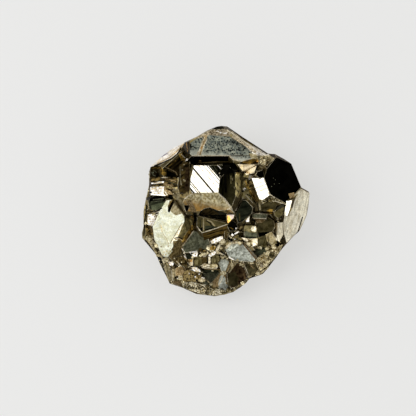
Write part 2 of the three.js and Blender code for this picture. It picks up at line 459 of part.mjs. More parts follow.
// The whole cluster leans back on its foot, and the foot is cut flat
cluster = cluster.rotate([leanBackDegrees, 0, 0]).translate([0, 0, middleHeight]);
cluster = cluster.trimByPlane([0, 0, 1], 0);

// Gaps closed in between the crystals are solid ore, and what the cuts left loose is dropped
const largestFirst = (one, other) => other.volume() - one.volume();
cluster = cluster.decompose().sort(largestFirst)[0];

// It stands with the middle of its box over the origin
const { min, max } = cluster.boundingBox();
cluster = cluster.translate([-(min[0] + max[0]) / 2, -(min[1] + max[1]) / 2, 0]);

const pyrite = new THREE.MeshStandardMaterial({ color: 0xb5a47a, roughness: 0.3, metalness: 1 });
const piece = new THREE.Mesh(geometryOf(cluster), pyrite);
piece.name = 'pyrite_cluster';

const group = new THREE.Group();
group.name = 'pyrite_cluster_group';
group.add(piece);
export default group;
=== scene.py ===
# %% [markdown]
# # Pyrite cluster
# A pyrite cluster is one lump of ore from which dozens of crystals stick out. Each crystal has flat faces
# like little mirrors, so what gives the stone its look is which face reflects what. Here the solid from the
# CAD step is taken over as it is, its flat faces are given their own finishes, and the fine things that a
# solid can't carry are added: worn edges with painted highlights, growth lines, stains, painted reflections,
# painted highlights and painted shade with sharp edges, and the grains of the crust.

# %% The frame and its tools
import math
import random

import bmesh
import bpy
from mathutils import Euler, Matrix, Vector
from mathutils.bvhtree import BVHTree


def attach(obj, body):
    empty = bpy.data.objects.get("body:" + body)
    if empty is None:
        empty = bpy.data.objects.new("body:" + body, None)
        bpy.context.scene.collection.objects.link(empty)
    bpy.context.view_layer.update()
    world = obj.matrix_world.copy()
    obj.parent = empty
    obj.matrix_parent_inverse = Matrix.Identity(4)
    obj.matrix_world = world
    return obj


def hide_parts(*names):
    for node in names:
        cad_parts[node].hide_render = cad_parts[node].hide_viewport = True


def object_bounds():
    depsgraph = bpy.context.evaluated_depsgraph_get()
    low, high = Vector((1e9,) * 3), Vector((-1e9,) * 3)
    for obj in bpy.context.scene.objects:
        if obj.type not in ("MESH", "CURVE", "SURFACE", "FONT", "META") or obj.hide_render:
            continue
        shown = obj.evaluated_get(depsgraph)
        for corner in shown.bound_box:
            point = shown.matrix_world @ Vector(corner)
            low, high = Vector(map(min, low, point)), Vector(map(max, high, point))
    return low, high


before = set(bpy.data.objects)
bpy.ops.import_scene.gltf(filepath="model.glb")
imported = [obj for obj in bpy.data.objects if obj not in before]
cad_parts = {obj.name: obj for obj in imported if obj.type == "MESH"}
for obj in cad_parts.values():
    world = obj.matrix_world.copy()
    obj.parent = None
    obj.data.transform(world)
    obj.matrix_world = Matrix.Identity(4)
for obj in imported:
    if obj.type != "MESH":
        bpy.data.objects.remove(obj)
cad_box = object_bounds()
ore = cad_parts["pyrite_cluster"]
print("cluster of", len(ore.data.polygons), "triangles")

# %% [markdown]
# The crystals were laid out in a plane that faces the viewer, in millimetres: across to the right, up to
# the back, and height towards the viewer. One matrix turns such a place into a place on the standing
# cluster, so every later step can name a face by where it is seen.

# %% From the viewer's plane to the standing cluster
MM = 0.001
lean_back = math.radians(10)
middle_height = 12
standing_shift = (-0.25, 0.126)

to_cluster = (
    Matrix.Translation((standing_shift[0] * MM, standing_shift[1] * MM, middle_height * MM))
    @ Matrix.Rotation(lean_back, 4, "X")
    @ Matrix.Scale(MM, 4)
)
towards_viewer = (to_cluster.to_3x3() @ Vector((0, 0, 1))).normalized()
above_all = 60  # where the rays from the viewer start, in mm


def place(across, up, height=0.0):
    return to_cluster @ Vector((across, up, height))


def look_down(tree, across, up):
    """What a ray from the viewer meets first: its place, the way it faces, its number and the distance."""
    return tree.ray_cast(place(across, up, above_all), -towards_viewer)


print("the viewer's direction:", [round(part, 3) for part in towards_viewer])

# %% [markdown]
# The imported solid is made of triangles. A crystal face reads as a mirror only when it is one flat polygon,
# so the copy has its loose corners joined and every edge dissolved that lies flat between two triangles.

# %% A copy with whole flat faces
stone = bmesh.new()
stone.from_mesh(ore.data)
bmesh.ops.remove_doubles(stone, verts=stone.verts, dist=0.01 * MM)
bmesh.ops.dissolve_limit(stone, angle_limit=math.radians(1), verts=stone.verts, edges=stone.edges)
stone.normal_update()
print("flat faces:", len(stone.faces))

# %% [markdown]
# Each finish is given to a face by touching it: a ray goes down from the viewer at a place on the face, and
# the face it meets gets that finish, and a tone that makes it lighter or darker. All other faces keep the
# common finish, a golden brown.

# %% Which faces have which finish
touched_at = {
    # finish: places on the faces, across and up, and the tone where it isn't 1
    "slate": [(-1, 19.5), (5, 16.2)],
    "rim": [(-1, 23.6, 0.75), (-7, 22.4), (4.6, 21.2)],
    "striped_side": [(9, 17.4), (7, 19.6)],
    # the pale sides carry a painted reflection of the pale ground
    "pale_side": [(-16.5, 16.9), (-20, 14.6), (-12, 19.6), (-14.6, 17.8)],
    "bright": [(-6, 10), (10.5, 7), (-19.5, 6), (-21.4, -2.5), (9.1, -5), (19, 2)],
    # the white faces are painted highlights, bright whatever they face
    "white": [(-2.9, -8.6), (-9.2, -12.9), (-6.7, -12.8), (-3.6, -12.8), (-17, -15.9), (-8.5, -17.2),
              (-6.8, -20), (3.6, -6.3), (2.3, -7), (6.7, -2.2), (-11.8, -13.9, 0.8), (-16.1, -15.7, 0.8),
              (3.2, -8.3, 0.8)],
    "cream": [(6, 13.5, 0.8), (8.4, 12.2), (8.8, -8.8), (-1.8, -10.9, 0.8), (-1.2, -12.7, 0.8),
              (6.2, -8.2, 0.9), (-4.6, -14.8, 0.8), (-4.5, -16.4, 0.6), (-10.1, -15.3, 0.9),
              (16.6, -6, 0.85), (14.4, -8.5, 0.5), (-15.6, -19, 0.45), (-13.7, -15.7, 0.5)],
    "pale_green": [(-16.5, -4, 0.86)],
    "shaded_tan": [(-6, 3, 0.85), (-10, 3, 0.85)],
    "striped_olive": [(-4, -3.5, 0.75)],
    "deep_olive": [(2.5, 8), (-2.5, 12.8)],
    "olive": [(-10.9, -4.4), (11.2, -8.6), (12.5, 1.8, 0.4), (16.5, 0.4, 0.65), (-9, -3, 0.5),
              (-7.5, -14.8, 1.2), (-2.8, -14.5, 1.1), (8, -17, 0.6), (4.9, 8, 1.3), (12.4, -4.2)],
    # the black faces have the dark reflection of the tent painted into their tint
    "black": [(17, 9), (-4, 15.7), (4.6, 14.5), (10.4, 11), (-4, -18.6, 3), (-4.5, 0.4), (-2, -0.4),
              (-6, 0), (-3, -2), (0, -1.5), (0, -2.6), (-11.2, 1.4), (2.2, -4.3), (2, -8.5, 2),
              (-10.7, -13.6, 2)],
    "umber": [(-15.5, 12.5, 0.4), (-20.2, 11.6, 0.2), (-12, 12, 0.6), (-15.8, 14.5, 0.4), (-16.4, 1)],
    "dark_green": [(-20, 2.6, 0.7), (10.2, -12, 0.8), (5.8, 0.4, 0.45)],
    "grey": [(-8.5, -9.5, 1.1), (-5.8, -21.4, 0.8), (10.4, -1.4, 1.2), (3.6, -7.8), (7.5, -6, 1.2)],
    "light_grey": [(4.6, -12, 0.65), (-0.2, -15.6, 1.4), (0, -22, 0.65)],
    "red_brown": [(4, -18.6)],
    "dull_brown": [(-14, -11), (-13, -14.2, 0.9), (-12, -15.8, 0.9), (0.5, -6.5)],
    "tan": [(-13.6, -17.8), (1.5, -15.8, 0.9), (-17.2, -18, 0.6), (-14, -21.5, 0.3), (-2.5, -21)],
    "gold": [(-3, -6.3, 0.35), (-11.6, -7.6, 1.6), (-3.7, -10.8, 1.6)],
    "dome": [(-10, -19.5)],
    "ledge": [(-10, -22.5), (-7, -23.4), (-1, -24.3)],
    # the spark is a painted glint
    "spark": [(1.6, -2)],
    # the flank carries a painted reflection of the pale ground
    "flank": [(22.4, 0), (16.8, -6), (19, -6)],
}
finish_names = ["common", *touched_at, "pale_gold", "amber", "beige", "moss", "purple", "edge", "crust"]
tone = stone.faces.layers.float.new("tone")


def faces_below():
    """What the viewer sees of the stone as it is now."""
    stone.faces.ensure_lookup_table()
    tree = BVHTree.FromBMesh(stone)

    def seen(across, up):
        point, _, index, _ = look_down(tree, across, up)
        return (stone.faces[index], point) if point else (None, None)

    return seen


def give_finish(face, finish, own_tone=1.0):
    face.material_index = finish_names.index(finish)
    face[tone] = own_tone


seen = faces_below()
for finish, places in touched_at.items():
    for across, up, *own_tone in places:
        give_finish(seen(across, up)[0], finish, *own_tone)
print("named faces:", sum(face.material_index > 0 for face in stone.faces))

# %% [markdown]
# Where the common finish lies, each face gets a tone of its own: in a real cluster one small crystal is
# bright while the next is nearly black. Faces that look away from the viewer are painted darker, a painted
# shade for the shade they lie in. The tones are drawn with a fixed seed, so every run gives the same.

# %% A tone for each common face
draw = random.Random(7)
common_tones = (0.15, 0.25, 0.4, 0.5, 0.7, 1.0, 1.4)
steep = 0.4
# how much darker the faces turned away from the viewer are painted, as painted shade
painted_shade_factor = 0.5
for face in stone.faces:
    if face.material_index == 0:
        face[tone] = draw.choice(common_tones) * draw.uniform(0.85, 1.15)
        if face.normal.dot(towards_viewer) < steep:
            face[tone] *= painted_shade_factor

# %% [markdown]
# No edge of a natural crystal is a perfect knife edge. A very narrow bevel along the longer sharp edges
# catches the light as a thin line, as the edges in a real cluster do. The bevels that face the viewer also
# get a pale finish of differing tone, a painted highlight that shows them as pale lines between dark faces.

# %% Fine worn edges with painted highlights
edge_wear = 0.07
longer = 0.9
sharp = math.radians(14)
seen_edge = 0.3
edge_highlight_tones = (0.15, 0.3, 0.5, 0.8)


def is_worn(edge):
    return (len(edge.link_faces) == 2 and edge.calc_length() > longer * MM
            and edge.calc_face_angle(0) > sharp and edge.is_convex)


worn = [edge for edge in stone.edges if is_worn(edge)]
before = len(stone.faces)
bevelled = bmesh.ops.bevel(
    stone, geom=worn, offset=edge_wear * MM, offset_type="OFFSET", segments=1, profile=0.5,
    affect="EDGES", clamp_overlap=False, material=-1)
# the bevel faces turned to the viewer get a painted highlight
for face in bevelled["faces"]:
    if face.normal.dot(towards_viewer) > seen_edge:
        give_finish(face, "edge", draw.choice(edge_highlight_tones))
stone.normal_update()
print("worn edges:", len(worn), "faces added:", len(stone.faces) - before)

# %% [markdown]
# Pyrite grows in thin layers, and where a layer stops it leaves a straight step across the face. On a
# mirror such a step is a dark or a bright line, because it looks another way. The lines could be painted,
# but then they would not turn with the light, so they are cut: each line is a narrow strip with its middle
# sunk.

# %% Growth lines cut in the faces
hair = 1e-8
lowest_part = 0.3


class Facet:
    """One crystal face that is cut in strips along a direction."""

    def __init__(self, across, up, degrees):
        face, self.middle = faces_below()(across, up)
        self.pieces = [face]
        self.normal = face.normal.copy()
        turn = math.radians(degrees)
        along = to_cluster.to_3x3() @ Vector((math.cos(turn), math.sin(turn), 0))
        self.along = (along - self.normal * along.dot(self.normal)).normalized()
        self.sideways = self.normal.cross(self.along)

    def offset(self, point):
        return (point - self.middle).dot(self.sideways) / MM

    def cut(self, offset):
        corners = set()
        pieces = []
        for piece in self.pieces:
            reach = [self.offset(corner.co) for corner in piece.verts]
            if not min(reach) < offset < max(reach):
                pieces.append(piece)
                continue
            result = bmesh.ops.bisect_plane(
                stone, geom=[piece, *piece.edges, *piece.verts], dist=hair,
                plane_co=self.middle + self.sideways * offset * MM, plane_no=self.sideways)
            corners.update(part for part in result["geom_cut"] if isinstance(part, bmesh.types.BMVert))
            pieces.extend(part for part in result["geom"] if isinstance(part, bmesh.types.BMFace))
        self.pieces = pieces
        return corners

    def line(self, offset, width, depth, finish, own_tone):
        """A strip, in mm. Its lowest line is off its middle, so it has a wide and a narrow side."""
        self.cut(offset - width / 2)
        self.cut(offset + width / 2)
        for corner in self.cut(offset + width * lowest_part):
            corner.co -= self.normal * depth * MM
        for piece in self.pieces:
            if abs(self.offset(piece.calc_center_median()) - offset) < width / 2:
                give_finish(piece, finish, own_tone)


growth_lines = [
    # across, up and direction of a face, then offset, width, depth, finish and tone of its lines
    (-6, 10, -48, [
        (-0.75, 0.5, 0.05, "dull_brown", 0.3), (3.4, 0.28, 0.02, "tan", 0.2), (2.9, 0.26, 0.02, "tan", 0.2),
        (2.1, 0.16, 0.01, "tan", 0.4), (1, 0.12, 0.01, "tan", 0.8), (-2.2, 0.12, 0.01, "tan", 0.8),
        (-3.9, 0.28, 0.02, "tan", 0.2), (-4.4, 0.24, 0.02, "tan", 0.3), (-5.3, 0.5, 0.03, "black", 1),
        (-6.2, 0.6, 0.03, "black", 1)]),
    (10.5, 7, 20, [
        (1.4, 0.2, 0.01, "cream", 0.7), (0.4, 0.2, 0.01, "cream", 0.7), (-0.8, 0.2, 0.01, "cream", 0.7)]),
    (-19.5, 6, -3, [(0.7, 0.2, 0.03, "tan", 0.5), (-0.5, 0.14, 0.01, "cream", 0.8)]),
]

for across, up, degrees, lines in growth_lines:
    facet = Facet(across, up, degrees)
    for line in lines:
        facet.line(*line)
    print("growth lines at", (across, up), "pieces", len(facet.pieces))

# %% [markdown]
# Many faces aren't one mirror. Part of a face is stained or etched, or carries a painted reflection of a
# neighbour or a painted highlight, and that part ends in a sharp line. It is only colour on the surface, so
# nothing is raised: the part is cut out of the face along its outline, like glass, and gets its own finish.
# First comes the search for the faces that an outline covers. It could go by what touches the outline, but
# then hidden faces under it would be cut too, so rays are sent down inside the outline, a small step apart.

# %% Which faces lie inside an outline
def is_inside(across, up, area):
    inside = False
    for (ax, ay), (bx, by) in zip(area, area[1:] + area[:1]):
        if (ay > up) != (by > up) and across < ax + (bx - ax) * (up - ay) / (by - ay):
            inside = not inside
    return inside


stone.normal_update()
stone.faces.ensure_lookup_table()
whole_faces = BVHTree.FromBMesh(stone)
parts_of = [[face] for face in stone.faces]
search_step = 0.1


def faces_inside(outline):
    """The numbers of the whole faces that the viewer sees inside an outline."""
    least_across, least_up = (min(corner[axis] for corner in outline) for axis in (0, 1))
    most_across, most_up = (max(corner[axis] for corner in outline) for axis in (0, 1))
    numbers = {}
    for column in range(int((most_across - least_across) / search_step) + 1):
        for row in range(int((most_up - least_up) / search_step) + 1):
            across, up = least_across + (column + 0.5) * search_step, least_up + (row + 0.5) * search_step
            if is_inside(across, up, outline):
                numbers[look_down(whole_faces, across, up)[2]] = True
    numbers.pop(None, None)
    return list(numbers)


print("faces to search:", len(parts_of))

# %% [markdown]
# Now the cutting itself. A Boolean could do it, but it rebuilds the whole mesh each time and forgets the
# tones; cutting one face along the planes of the outline keeps them. Narrow streaks are cut the same way,
# piece by piece along a line of places, and specks as six-sided spots. The places are written as numbers in
# turn, across, up, across, up, and everything is in millimetres.

# %% How part of a face is cut out
def split(face, start, outwards):
    """The parts of a face on the inner and on the outer side of a plane."""
    beyond = [(corner.co - start).dot(outwards) > 0 for corner in face.verts]
    if all(beyond):
        return [], [face]
    if not any(beyond):
        return [face], []
    result = bmesh.ops.bisect_plane(stone, geom=[face, *face.edges, *face.verts], dist=hair,
                                    plane_co=start, plane_no=outwards)
    parts = [part for part in result["geom"] if isinstance(part, bmesh.types.BMFace)]
    inner = [part for part in parts if (part.calc_center_median() - start).dot(outwards) < 0]
    return inner, [part for part in parts if part not in inner]


def pairs(numbers):
    return list(zip(numbers[::2], numbers[1::2]))


def patch(finish, own_tone, *corners):
    """Gives the finish to all that the viewer sees inside a convex outline."""
    outline = pairs(corners)
    if sum(ax * by - bx * ay for (ax, ay), (bx, by) in zip(outline, outline[1:] + outline[:1])) < 0:
        outline.reverse()
    for number in faces_inside(outline):
        inside, outside = parts_of[number], []
        for start, end in zip(outline, outline[1:] + outline[:1]):
            outwards = (place(*end) - place(*start)).cross(towards_viewer)
            kept = []
            for face in inside:
                inner, outer = split(face, place(*start), outwards)
                kept.extend(inner)
                outside.extend(outer)
            inside = kept
        for face in inside:
            give_finish(face, finish, own_tone)
        parts_of[number] = outside + inside


def streak(finish, own_tone, width, *line):
    """A narrow patch along a line of places."""
    spots = pairs(line)
    for (ax, ay), (bx, by) in zip(spots, spots[1:]):
        half = width / 2 / math.hypot(bx - ax, by - ay)
        dx, dy = (by - ay) * half, (ax - bx) * half
        patch(finish, own_tone, ax + dx, ay + dy, bx + dx, by + dy, bx - dx, by - dy, ax - dx, ay - dy)


def specks(finish, own_tone, radius, *centres):
    """Six-sided spots of one size."""
    for across, up in pairs(centres):
        outline = []
        for degrees in range(20, 380, 60):
            turn = math.radians(degrees)
            outline += [across + radius * math.cos(turn), up + radius * math.sin(turn)]
        patch(finish, own_tone, *outline)


# %% [markdown]
# At the top the slate-grey crystal has a golden vein, a pale lower edge that is a painted highlight, and a
# dark wedge over its rim. Its right side is striped along its length, because there the thin growth layers
# are seen edge on. The marks could be noise, but an eye knows this crystal by where they lie, so each is
# laid on at its own place.

# %% Stains and streaks at the top
patch("black", 2, -4.8, 24.1, -2.6, 24.3, 0.4, 24.1, -0.8, 25.6, -3, 25.4)
streak("white", 0.8, 0.4, -2.4, 23.9, -1.4, 23.4, 0.3, 23.2, 0.9, 23.6)
streak("tan", 1.1, 0.9, -5.5, 22.6, -6.7, 19.6, -7.6, 16.4)
streak("cream", 0.8, 0.25, -5.9, 22, -7.1, 19.4, -7.9, 17.2)
patch("cream", 0.8, -7.5, 18.6, -7.1, 18.4, -7.7, 16.4, -8.6, 16.4)
streak("cream", 0.8, 0.25, -5.1, 21.6, -6.2, 19.4, -6.9, 17)
specks("amber", 1, 0.3, -6.9, 18.9)
streak("black", 4, 0.4, -10.2, 20, -10, 18.7)
# the pale lower edge of the slate-grey crystal, a painted highlight
streak("cream", 0.6, 0.25, -9.7, 16.5, 1.4, 16.5)
streak("cream", 0.7, 0.35, 1.4, 16.5, 2.4, 15.5, 4.8, 14.9)
streak("slate", 0.5, 0.9, 1.8, 21.4, 6.8, 18.2)
streak("slate", 0.7, 0.8, 0.8, 20.9, 5.6, 17.8)
specks("tan", 1, 0.4, -7.3, 14.9)
streak("rim", 1.4, 0.9, 2.3, 22.3, 5.7, 20.2, 9.3, 17.5)
streak("cream", 0.8, 0.25, 0.6, 24.3, 11, 17.6)
streak("dull_brown", 0.9, 0.15, 3.9, 22.5, 11.4, 17.5)
streak("dull_brown", 0.4, 0.45, 1.2, 24.9, 5.2, 22.1, 12.8, 17.1)
specks("black", 1, 0.2, 8, 17.8, 8.7, 17.6, 6, 19.3, 4.6, 20.7, 10.2, 17.1)
patch("beige", 1.3, 7.2, 17.3, 9.6, 16.8, 9.4, 15.6, 7.8, 15.4)
patch("gold", 1.3, 4.8, 14.8, 8.2, 15.7, 10.4, 15.3, 9.8, 14.2, 5.8, 14.2)
streak("cream", 0.6, 0.2, 4.8, 14.8, 8.2, 15.7)
specks("amber", 1.2, 0.4, 9.7, 14.7)
patch("crust", 0.8, 9.8, 14, 11.2, 12.5, 13.2, 14.2, 14.8, 15.8, 13.4, 16.8, 10.4, 16.6)

# %% [markdown]
# The upper left of the lump is a long pale side with a dark jagged foot, and below it dark crystals with
# golden ridges. The pale side is a painted reflection of the pale ground. The ridges are thinner than a
# grain, so they are streaks and not raised.

# %% Stains and streaks at the upper left
patch("pale_side", 1, -22.6, 13.1, -20.5, 13.8, -18, 14.8, -15.5, 15.9, -14, 17.1, -12.4, 19.8, -11, 22.4,
      -14, 22, -22.6, 16)
streak("purple", 1, 0.5, -19, 16.4, -17, 17.5)
streak("tan", 1.3, 0.3, -20.2, 14.3, -16.4, 16.1, -13.6, 18.6, -12.2, 20.2)
patch("umber", 0.3, -12.7, 19.2, -11.6, 21, -10.4, 21, -10.3, 16.6, -11.6, 15.2, -12.8, 17.4)
streak("black", 2, 0.45, -21, 13.6, -18.4, 14.6, -15.8, 15.7, -14.1, 17.1, -12.9, 19.1)
patch("umber", 0.2, -18.4, 13.4, -15.8, 15.3, -13.4, 17.2, -12.8, 14.4, -14, 12.4, -17.4, 12.4)
streak("beige", 0.7, 0.2, -18.6, 12.7, -15.6, 15.4, -13.4, 17.4)
streak("gold", 0.8, 0.25, -16.9, 13.2, -14.4, 15.2)
patch("gold", 1.3, -13.8, 17.2, -12.9, 15.2, -11.7, 15.2, -12.6, 17.3)
streak("cream", 0.4, 0.25, -13, 17.1, -11.8, 15.9)
streak("gold", 1.6, 0.3, -11.4, 20.6, -11, 17.8)
specks("white", 0.9, 0.35, -11.2, 15.4)
streak("tan", 0.4, 0.3, -17.6, 13.2, -14.6, 11.8, -14, 10.8)
patch("gold", 1.4, -19.2, 12.6, -18.9, 11, -17.8, 10.6, -17.4, 11.4, -18.4, 12.8)
streak("gold", 1, 0.5, -22.2, 13, -18.6, 13)
streak("grey", 0.8, 0.3, -21.9, 11.8, -21.3, 10.9, -20.6, 10.6)
streak("grey", 0.6, 0.25, -21.3, 12.4, -20.3, 11.6)
specks("grey", 1.2, 0.25, -21.3, 11.6)
patch("black", 1, -17.2, 12.4, -14.6, 11.2, -14.2, 9.9, -17.4, 10.2)
patch("umber", 0.75, -13.6, 14, -12.4, 14.6, -11.9, 8, -12.6, 6.4, -13.6, 7.4)
streak("beige", 0.5, 0.4, -13.1, 13.4, -13.3, 10.2, -12.9, 7.8)
patch("red_brown", 0.7, -11.6, 13, -10.4, 13.4, -10.6, 6, -12, 6.4)
specks("cream", 0.35, 0.2, -13.2, 11, -12.6, 12.4, -12.2, 9.4, -12.9, 8.2, -12.1, 14)
specks("beige", 0.8, 0.35, -11.9, 9.1)

# %% [markdown]
# Down the left the bands of stepped growth follow each other. The steps themselves are in the solid; here
# each tread is painted in the tone of its own reflection, from white to tan, as each looks a little another
# way.

# %% Bands on the left
patch("umber", 0.6, -22.2, 10.2, -18, 10.4, -14, 10.2, -14, 7.2, -22.2, 7.4)
patch("cream", 0.6, -21.4, 9.2, -18, 9.9, -15.4, 9.6, -15.4, 10, -18, 10.3, -21.4, 9.6)
streak("black", 2, 0.3, -21.4, 8.9, -18, 9.2, -14, 8)
streak("tan", 0.6, 0.35, -17.8, 9.8, -14.4, 9)
patch("white", 0.95, -21.9, 8.2, -21.9, 8.7, -18.1, 9, -18.1, 8.5)
streak("black", 1, 0.3, -21.6, 8, -18.4, 8.2)
patch("tan", 0.55, -18.2, 8.5, -15.3, 7.9, -15.6, 7, -18.2, 7.2)
patch("white", 0.95, -22.3, 7.3, -18.1, 7.5, -18, 5.2, -22.3, 5.1)
streak("tan", 0.8, 0.15, -22, 6.6, -18.2, 6.8)
streak("tan", 0.6, 0.12, -21.6, 6, -18.4, 6.1)
patch("tan", 0.65, -18.1, 7.2, -15.3, 7, -15.3, 4.6, -17, 4.4, -18.1, 5.2)
streak("moss", 1, 0.4, -17.6, 7.5, -15.8, 7.1)
streak("dull_brown", 0.5, 0.4, -17.4, 6.9, -15.8, 6.1, -15.4, 5.2)
streak("cream", 0.7, 0.35, -17.9, 6.2, -17.1, 4.9)
specks("black", 1, 0.35, -22, 5.7)
patch("black", 2, -16.8, 5.2, -15.7, 5, -15.2, 4, -15.8, 3.6, -16.8, 3.8)
patch("beige", 0.75, -15.2, 7.2, -13.6, 6.6, -13.2, 4.4, -14, 3.4, -15.2, 4.6, -15.6, 6.2)

# %% [markdown]
# Under the bands lies a dark lens with thin bright lips, the mouth of a shallow gap, painted: the dark is
# painted shade and the lips are painted highlights. Below it lies the big pale green crystal. Its face is
# one flat sheet with a soft sheen, so only two parts of it are a shade darker.

# %% The dark lens and the pale green crystal
# painted shade for the mouth of the gap, with painted highlights on its lips below
patch("black", 1, -22.4, 4, -21, 4.6, -18.8, 4.6, -17.4, 3.8, -18, 3.2, -22.4, 2.8)
streak("grey", 1, 0.3, -21.4, 3.5, -18.1, 3.9)
streak("grey", 0.8, 0.25, -22, 2.9, -18.6, 3.2)
patch("dark_green", 3, -22, 1.7, -21.6, 0.4, -19.6, 0.5, -17.8, 2.2, -18, 2.9, -20, 2.3)
streak("black", 1, 0.25, -22.4, -0.1, -20.4, 0.2, -18.6, 1)
streak("white", 1, 0.35, -22.6, -0.6, -21, -0.3, -19.4, 0)
streak("black", 1, 0.25, -22.6, -1.1, -21, -0.8, -19.8, -0.5)
patch("white", 0.9, -23, -0.9, -21, -0.8, -20.6, -2.6, -21.6, -4.2, -23.2, -4)
streak("tan", 0.5, 0.3, -21.2, -1.6, -20.2, -1.2, -20.8, -2.6)
specks("amber", 0.6, 0.2, -22.3, -2.2)
patch("umber", 1.2, -23.6, -4.2, -21.5, -4.4, -21.4, -7, -23.4, -7.2)
streak("black", 1, 0.4, -23.4, 2, -23.5, 0, -23.8, -2, -24, -4.4, -24.2, -7.4)

patch("beige", 0.72, -14.6, 3.8, -13.2, 3.8, -12, 2.4, -11.9, -0.4, -14.6, -1.2, -16.2, 0.2, -15.4, 2.2)
patch("umber", 0.8, -16.4, 3.1, -15.1, 3.6, -15.4, 2.2, -16.1, 0.4, -16.9, -0.2, -16.9, 1.6)
streak("moss", 0.8, 0.2, -12.6, -3.4, -14, -5.6, -16.3, -9.6)
patch("cream", 0.95, -12.5, -3.5, -11.7, -3.9, -12.2, -5.6, -13.8, -7.6, -14.2, -6.2)
patch("cream", 0.95, -14.2, -6.3, -13.8, -7.6, -15, -8.6, -16.1, -9.5)
patch("pale_green", 0.76, -19.6, -2, -19.1, -2, -18.6, -4.5, -18.3, -7, -20.9, -7, -20.9, -4.2)
patch("pale_green", 0.76, -20.9, -7, -18.3, -7, -16.6, -10, -18.6, -11.2, -20, -10.2)
streak("beige", 1.2, 0.2, -18.4, -6.5, -17.2, -8.4, -16.6, -9.8)
streak("beige", 1.4, 0.3, -19, -4, -18.6, -6.2)
for across, up, radius in [(-16.8, -10.3, 0.3), (-18.9, -10.5, 0.3), (-16.2, -11, 0.2), (-17.6, -11.4, 0.2)]:
    specks("beige", 0.9, radius, across, up)
patch("olive", 0.9, -11.6, -2, -10.2, -2.4, -9.4, -3.4, -11.8, -7.8, -12.9, -8.5, -14, -7.7)
patch("olive", 2.4, -11.6, -2, -10.2, -2.4, -9.5, -3.4, -11, -5.4, -11.9, -5)
patch("gold", 1.6, -9.6, -3.6, -9.2, -5.7, -12.1, -9.8, -13, -8.6, -12, -7.2)
streak("beige", 0.6, 0.15, -9.6, -3.6, -12, -7.2)
patch("pale_green", 0.72, -19, -11.4, -16.2, -11.2, -15.5, -11.8, -17.2, -13.8, -18.5, -13.4)
specks("beige", 1.2, 0.3, -18.1, -12.1, -17.3, -11.8, -16.6, -12.4, -17.6, -12.9, -16.2, -11.8, -18.4, -12.9)
patch("dull_brown", 0.8, -15.4, -8.8, -12.9, -8.6, -12.6, -10.5, -13, -13, -15.2, -13.6, -15.3, -11.5)
streak("black", 1, 0.3, -15, -8, -13.6, -7.6, -12.5, -8.3)
streak("tan", 1.1, 0.25, -14.8, -8.4, -13.6, -8, -12.6, -8.7)
streak("cream", 0.8, 0.3, -9.2, -5.7, -12.6, -10.4)

# %% [markdown]
# In the middle the dark side of the large crystal is scratched and mirrors the crust beside it in small
# shreds, and its brown side has a pale edge. Real reflections would do it too, but they would need every
# neighbour at its exact tilt, so the shreds are laid on as painted reflections, and the pale edge as a
# painted highlight.

# %% The dark and the brown side of the large crystal
# painted reflections of the crust on the dark side
streak("white", 0.8, 0.22, -2.2, 13.8, -1, 12.5)
streak("grey", 1.2, 0.22, -1, 12.6, -0.3, 13.2)
specks("cream", 0.7, 0.25, -1.5, 11.3)
specks("cream", 0.5, 0.2, -1.4, 10.5)
streak("grey", 1, 0.2, -4.3, 13.4, -3.4, 13.9, -3, 13.4)
streak("grey", 0.7, 0.2, -3.9, 13.2, -2.4, 11.2)
streak("grey", 0.5, 0.2, -3.1, 13.2, -2.2, 12)
patch("black", 1, -0.4, 14.6, 3, 14.4, 3.8, 13.1, 4.6, 11.7, -1.6, 10.8)
streak("black", 1, 0.7, 0.1, 11.2, 0.3, 5.6)
streak("black", 1, 0.4, 1.1, 11.4, 1.2, 9.6)
streak("black", 1, 0.4, 2.5, 11.6, 2.6, 10.3)
patch("moss", 2, 3.1, 11, 4.3, 11.4, 4.9, 9, 4.8, 6, 3.9, 4, 3.1, 5)
for across, up in [(2.2, 9.9), (3.4, 8.8), (4.2, 10.4), (2.8, 7.4), (4.4, 7.6), (3.7, 6.4), (5.3, 8.8),
                   (6.3, 7.4)]:
    streak("beige", 0.5, 0.25, across, up, across + 0.15, up - 0.7)
    streak("umber", 0.4, 0.25, across + 0.35, up - 0.2, across + 0.5, up - 1.1)
patch("moss", 0.8, 4.9, 10.6, 6, 10.4, 7.2, 8, 9.3, 3.6, 7.6, 3.2, 5.2, 3.8, 4.8, 6)
patch("umber", 1, 6.4, 9.6, 7, 9.4, 10.3, 3.2, 9.8, 2.6, 9, 3)
streak("gold", 1.4, 0.5, 6, 9.2, 7.4, 6.2, 8.9, 3.6)
streak("black", 1, 0.3, 6.6, 5.2, 8, 4.4, 9.3, 2.4)
streak("tan", 0.7, 0.25, 5.6, 9.8, 6.4, 7.6)
streak("moss", 0.5, 0.4, 1.8, 10.6, 1.9, 8.2)
specks("black", 1, 0.4, 5.4, 6.1)
specks("white", 1, 0.45, 5.9, 6.7)
specks("grey", 1, 0.2, 6.1, 6.5)
streak("cream", 0.45, 0.3, 5.6, 4.2, 3.2, 0.2)
streak("cream", 0.4, 0.25, 6.2, 5, 8.5, 2.5)

# %% [markdown]
# Beside it a small golden face is split into clear-cut parts, from straw to nearly white: painted
# reflections, each as bright as the light that its part mirrors.

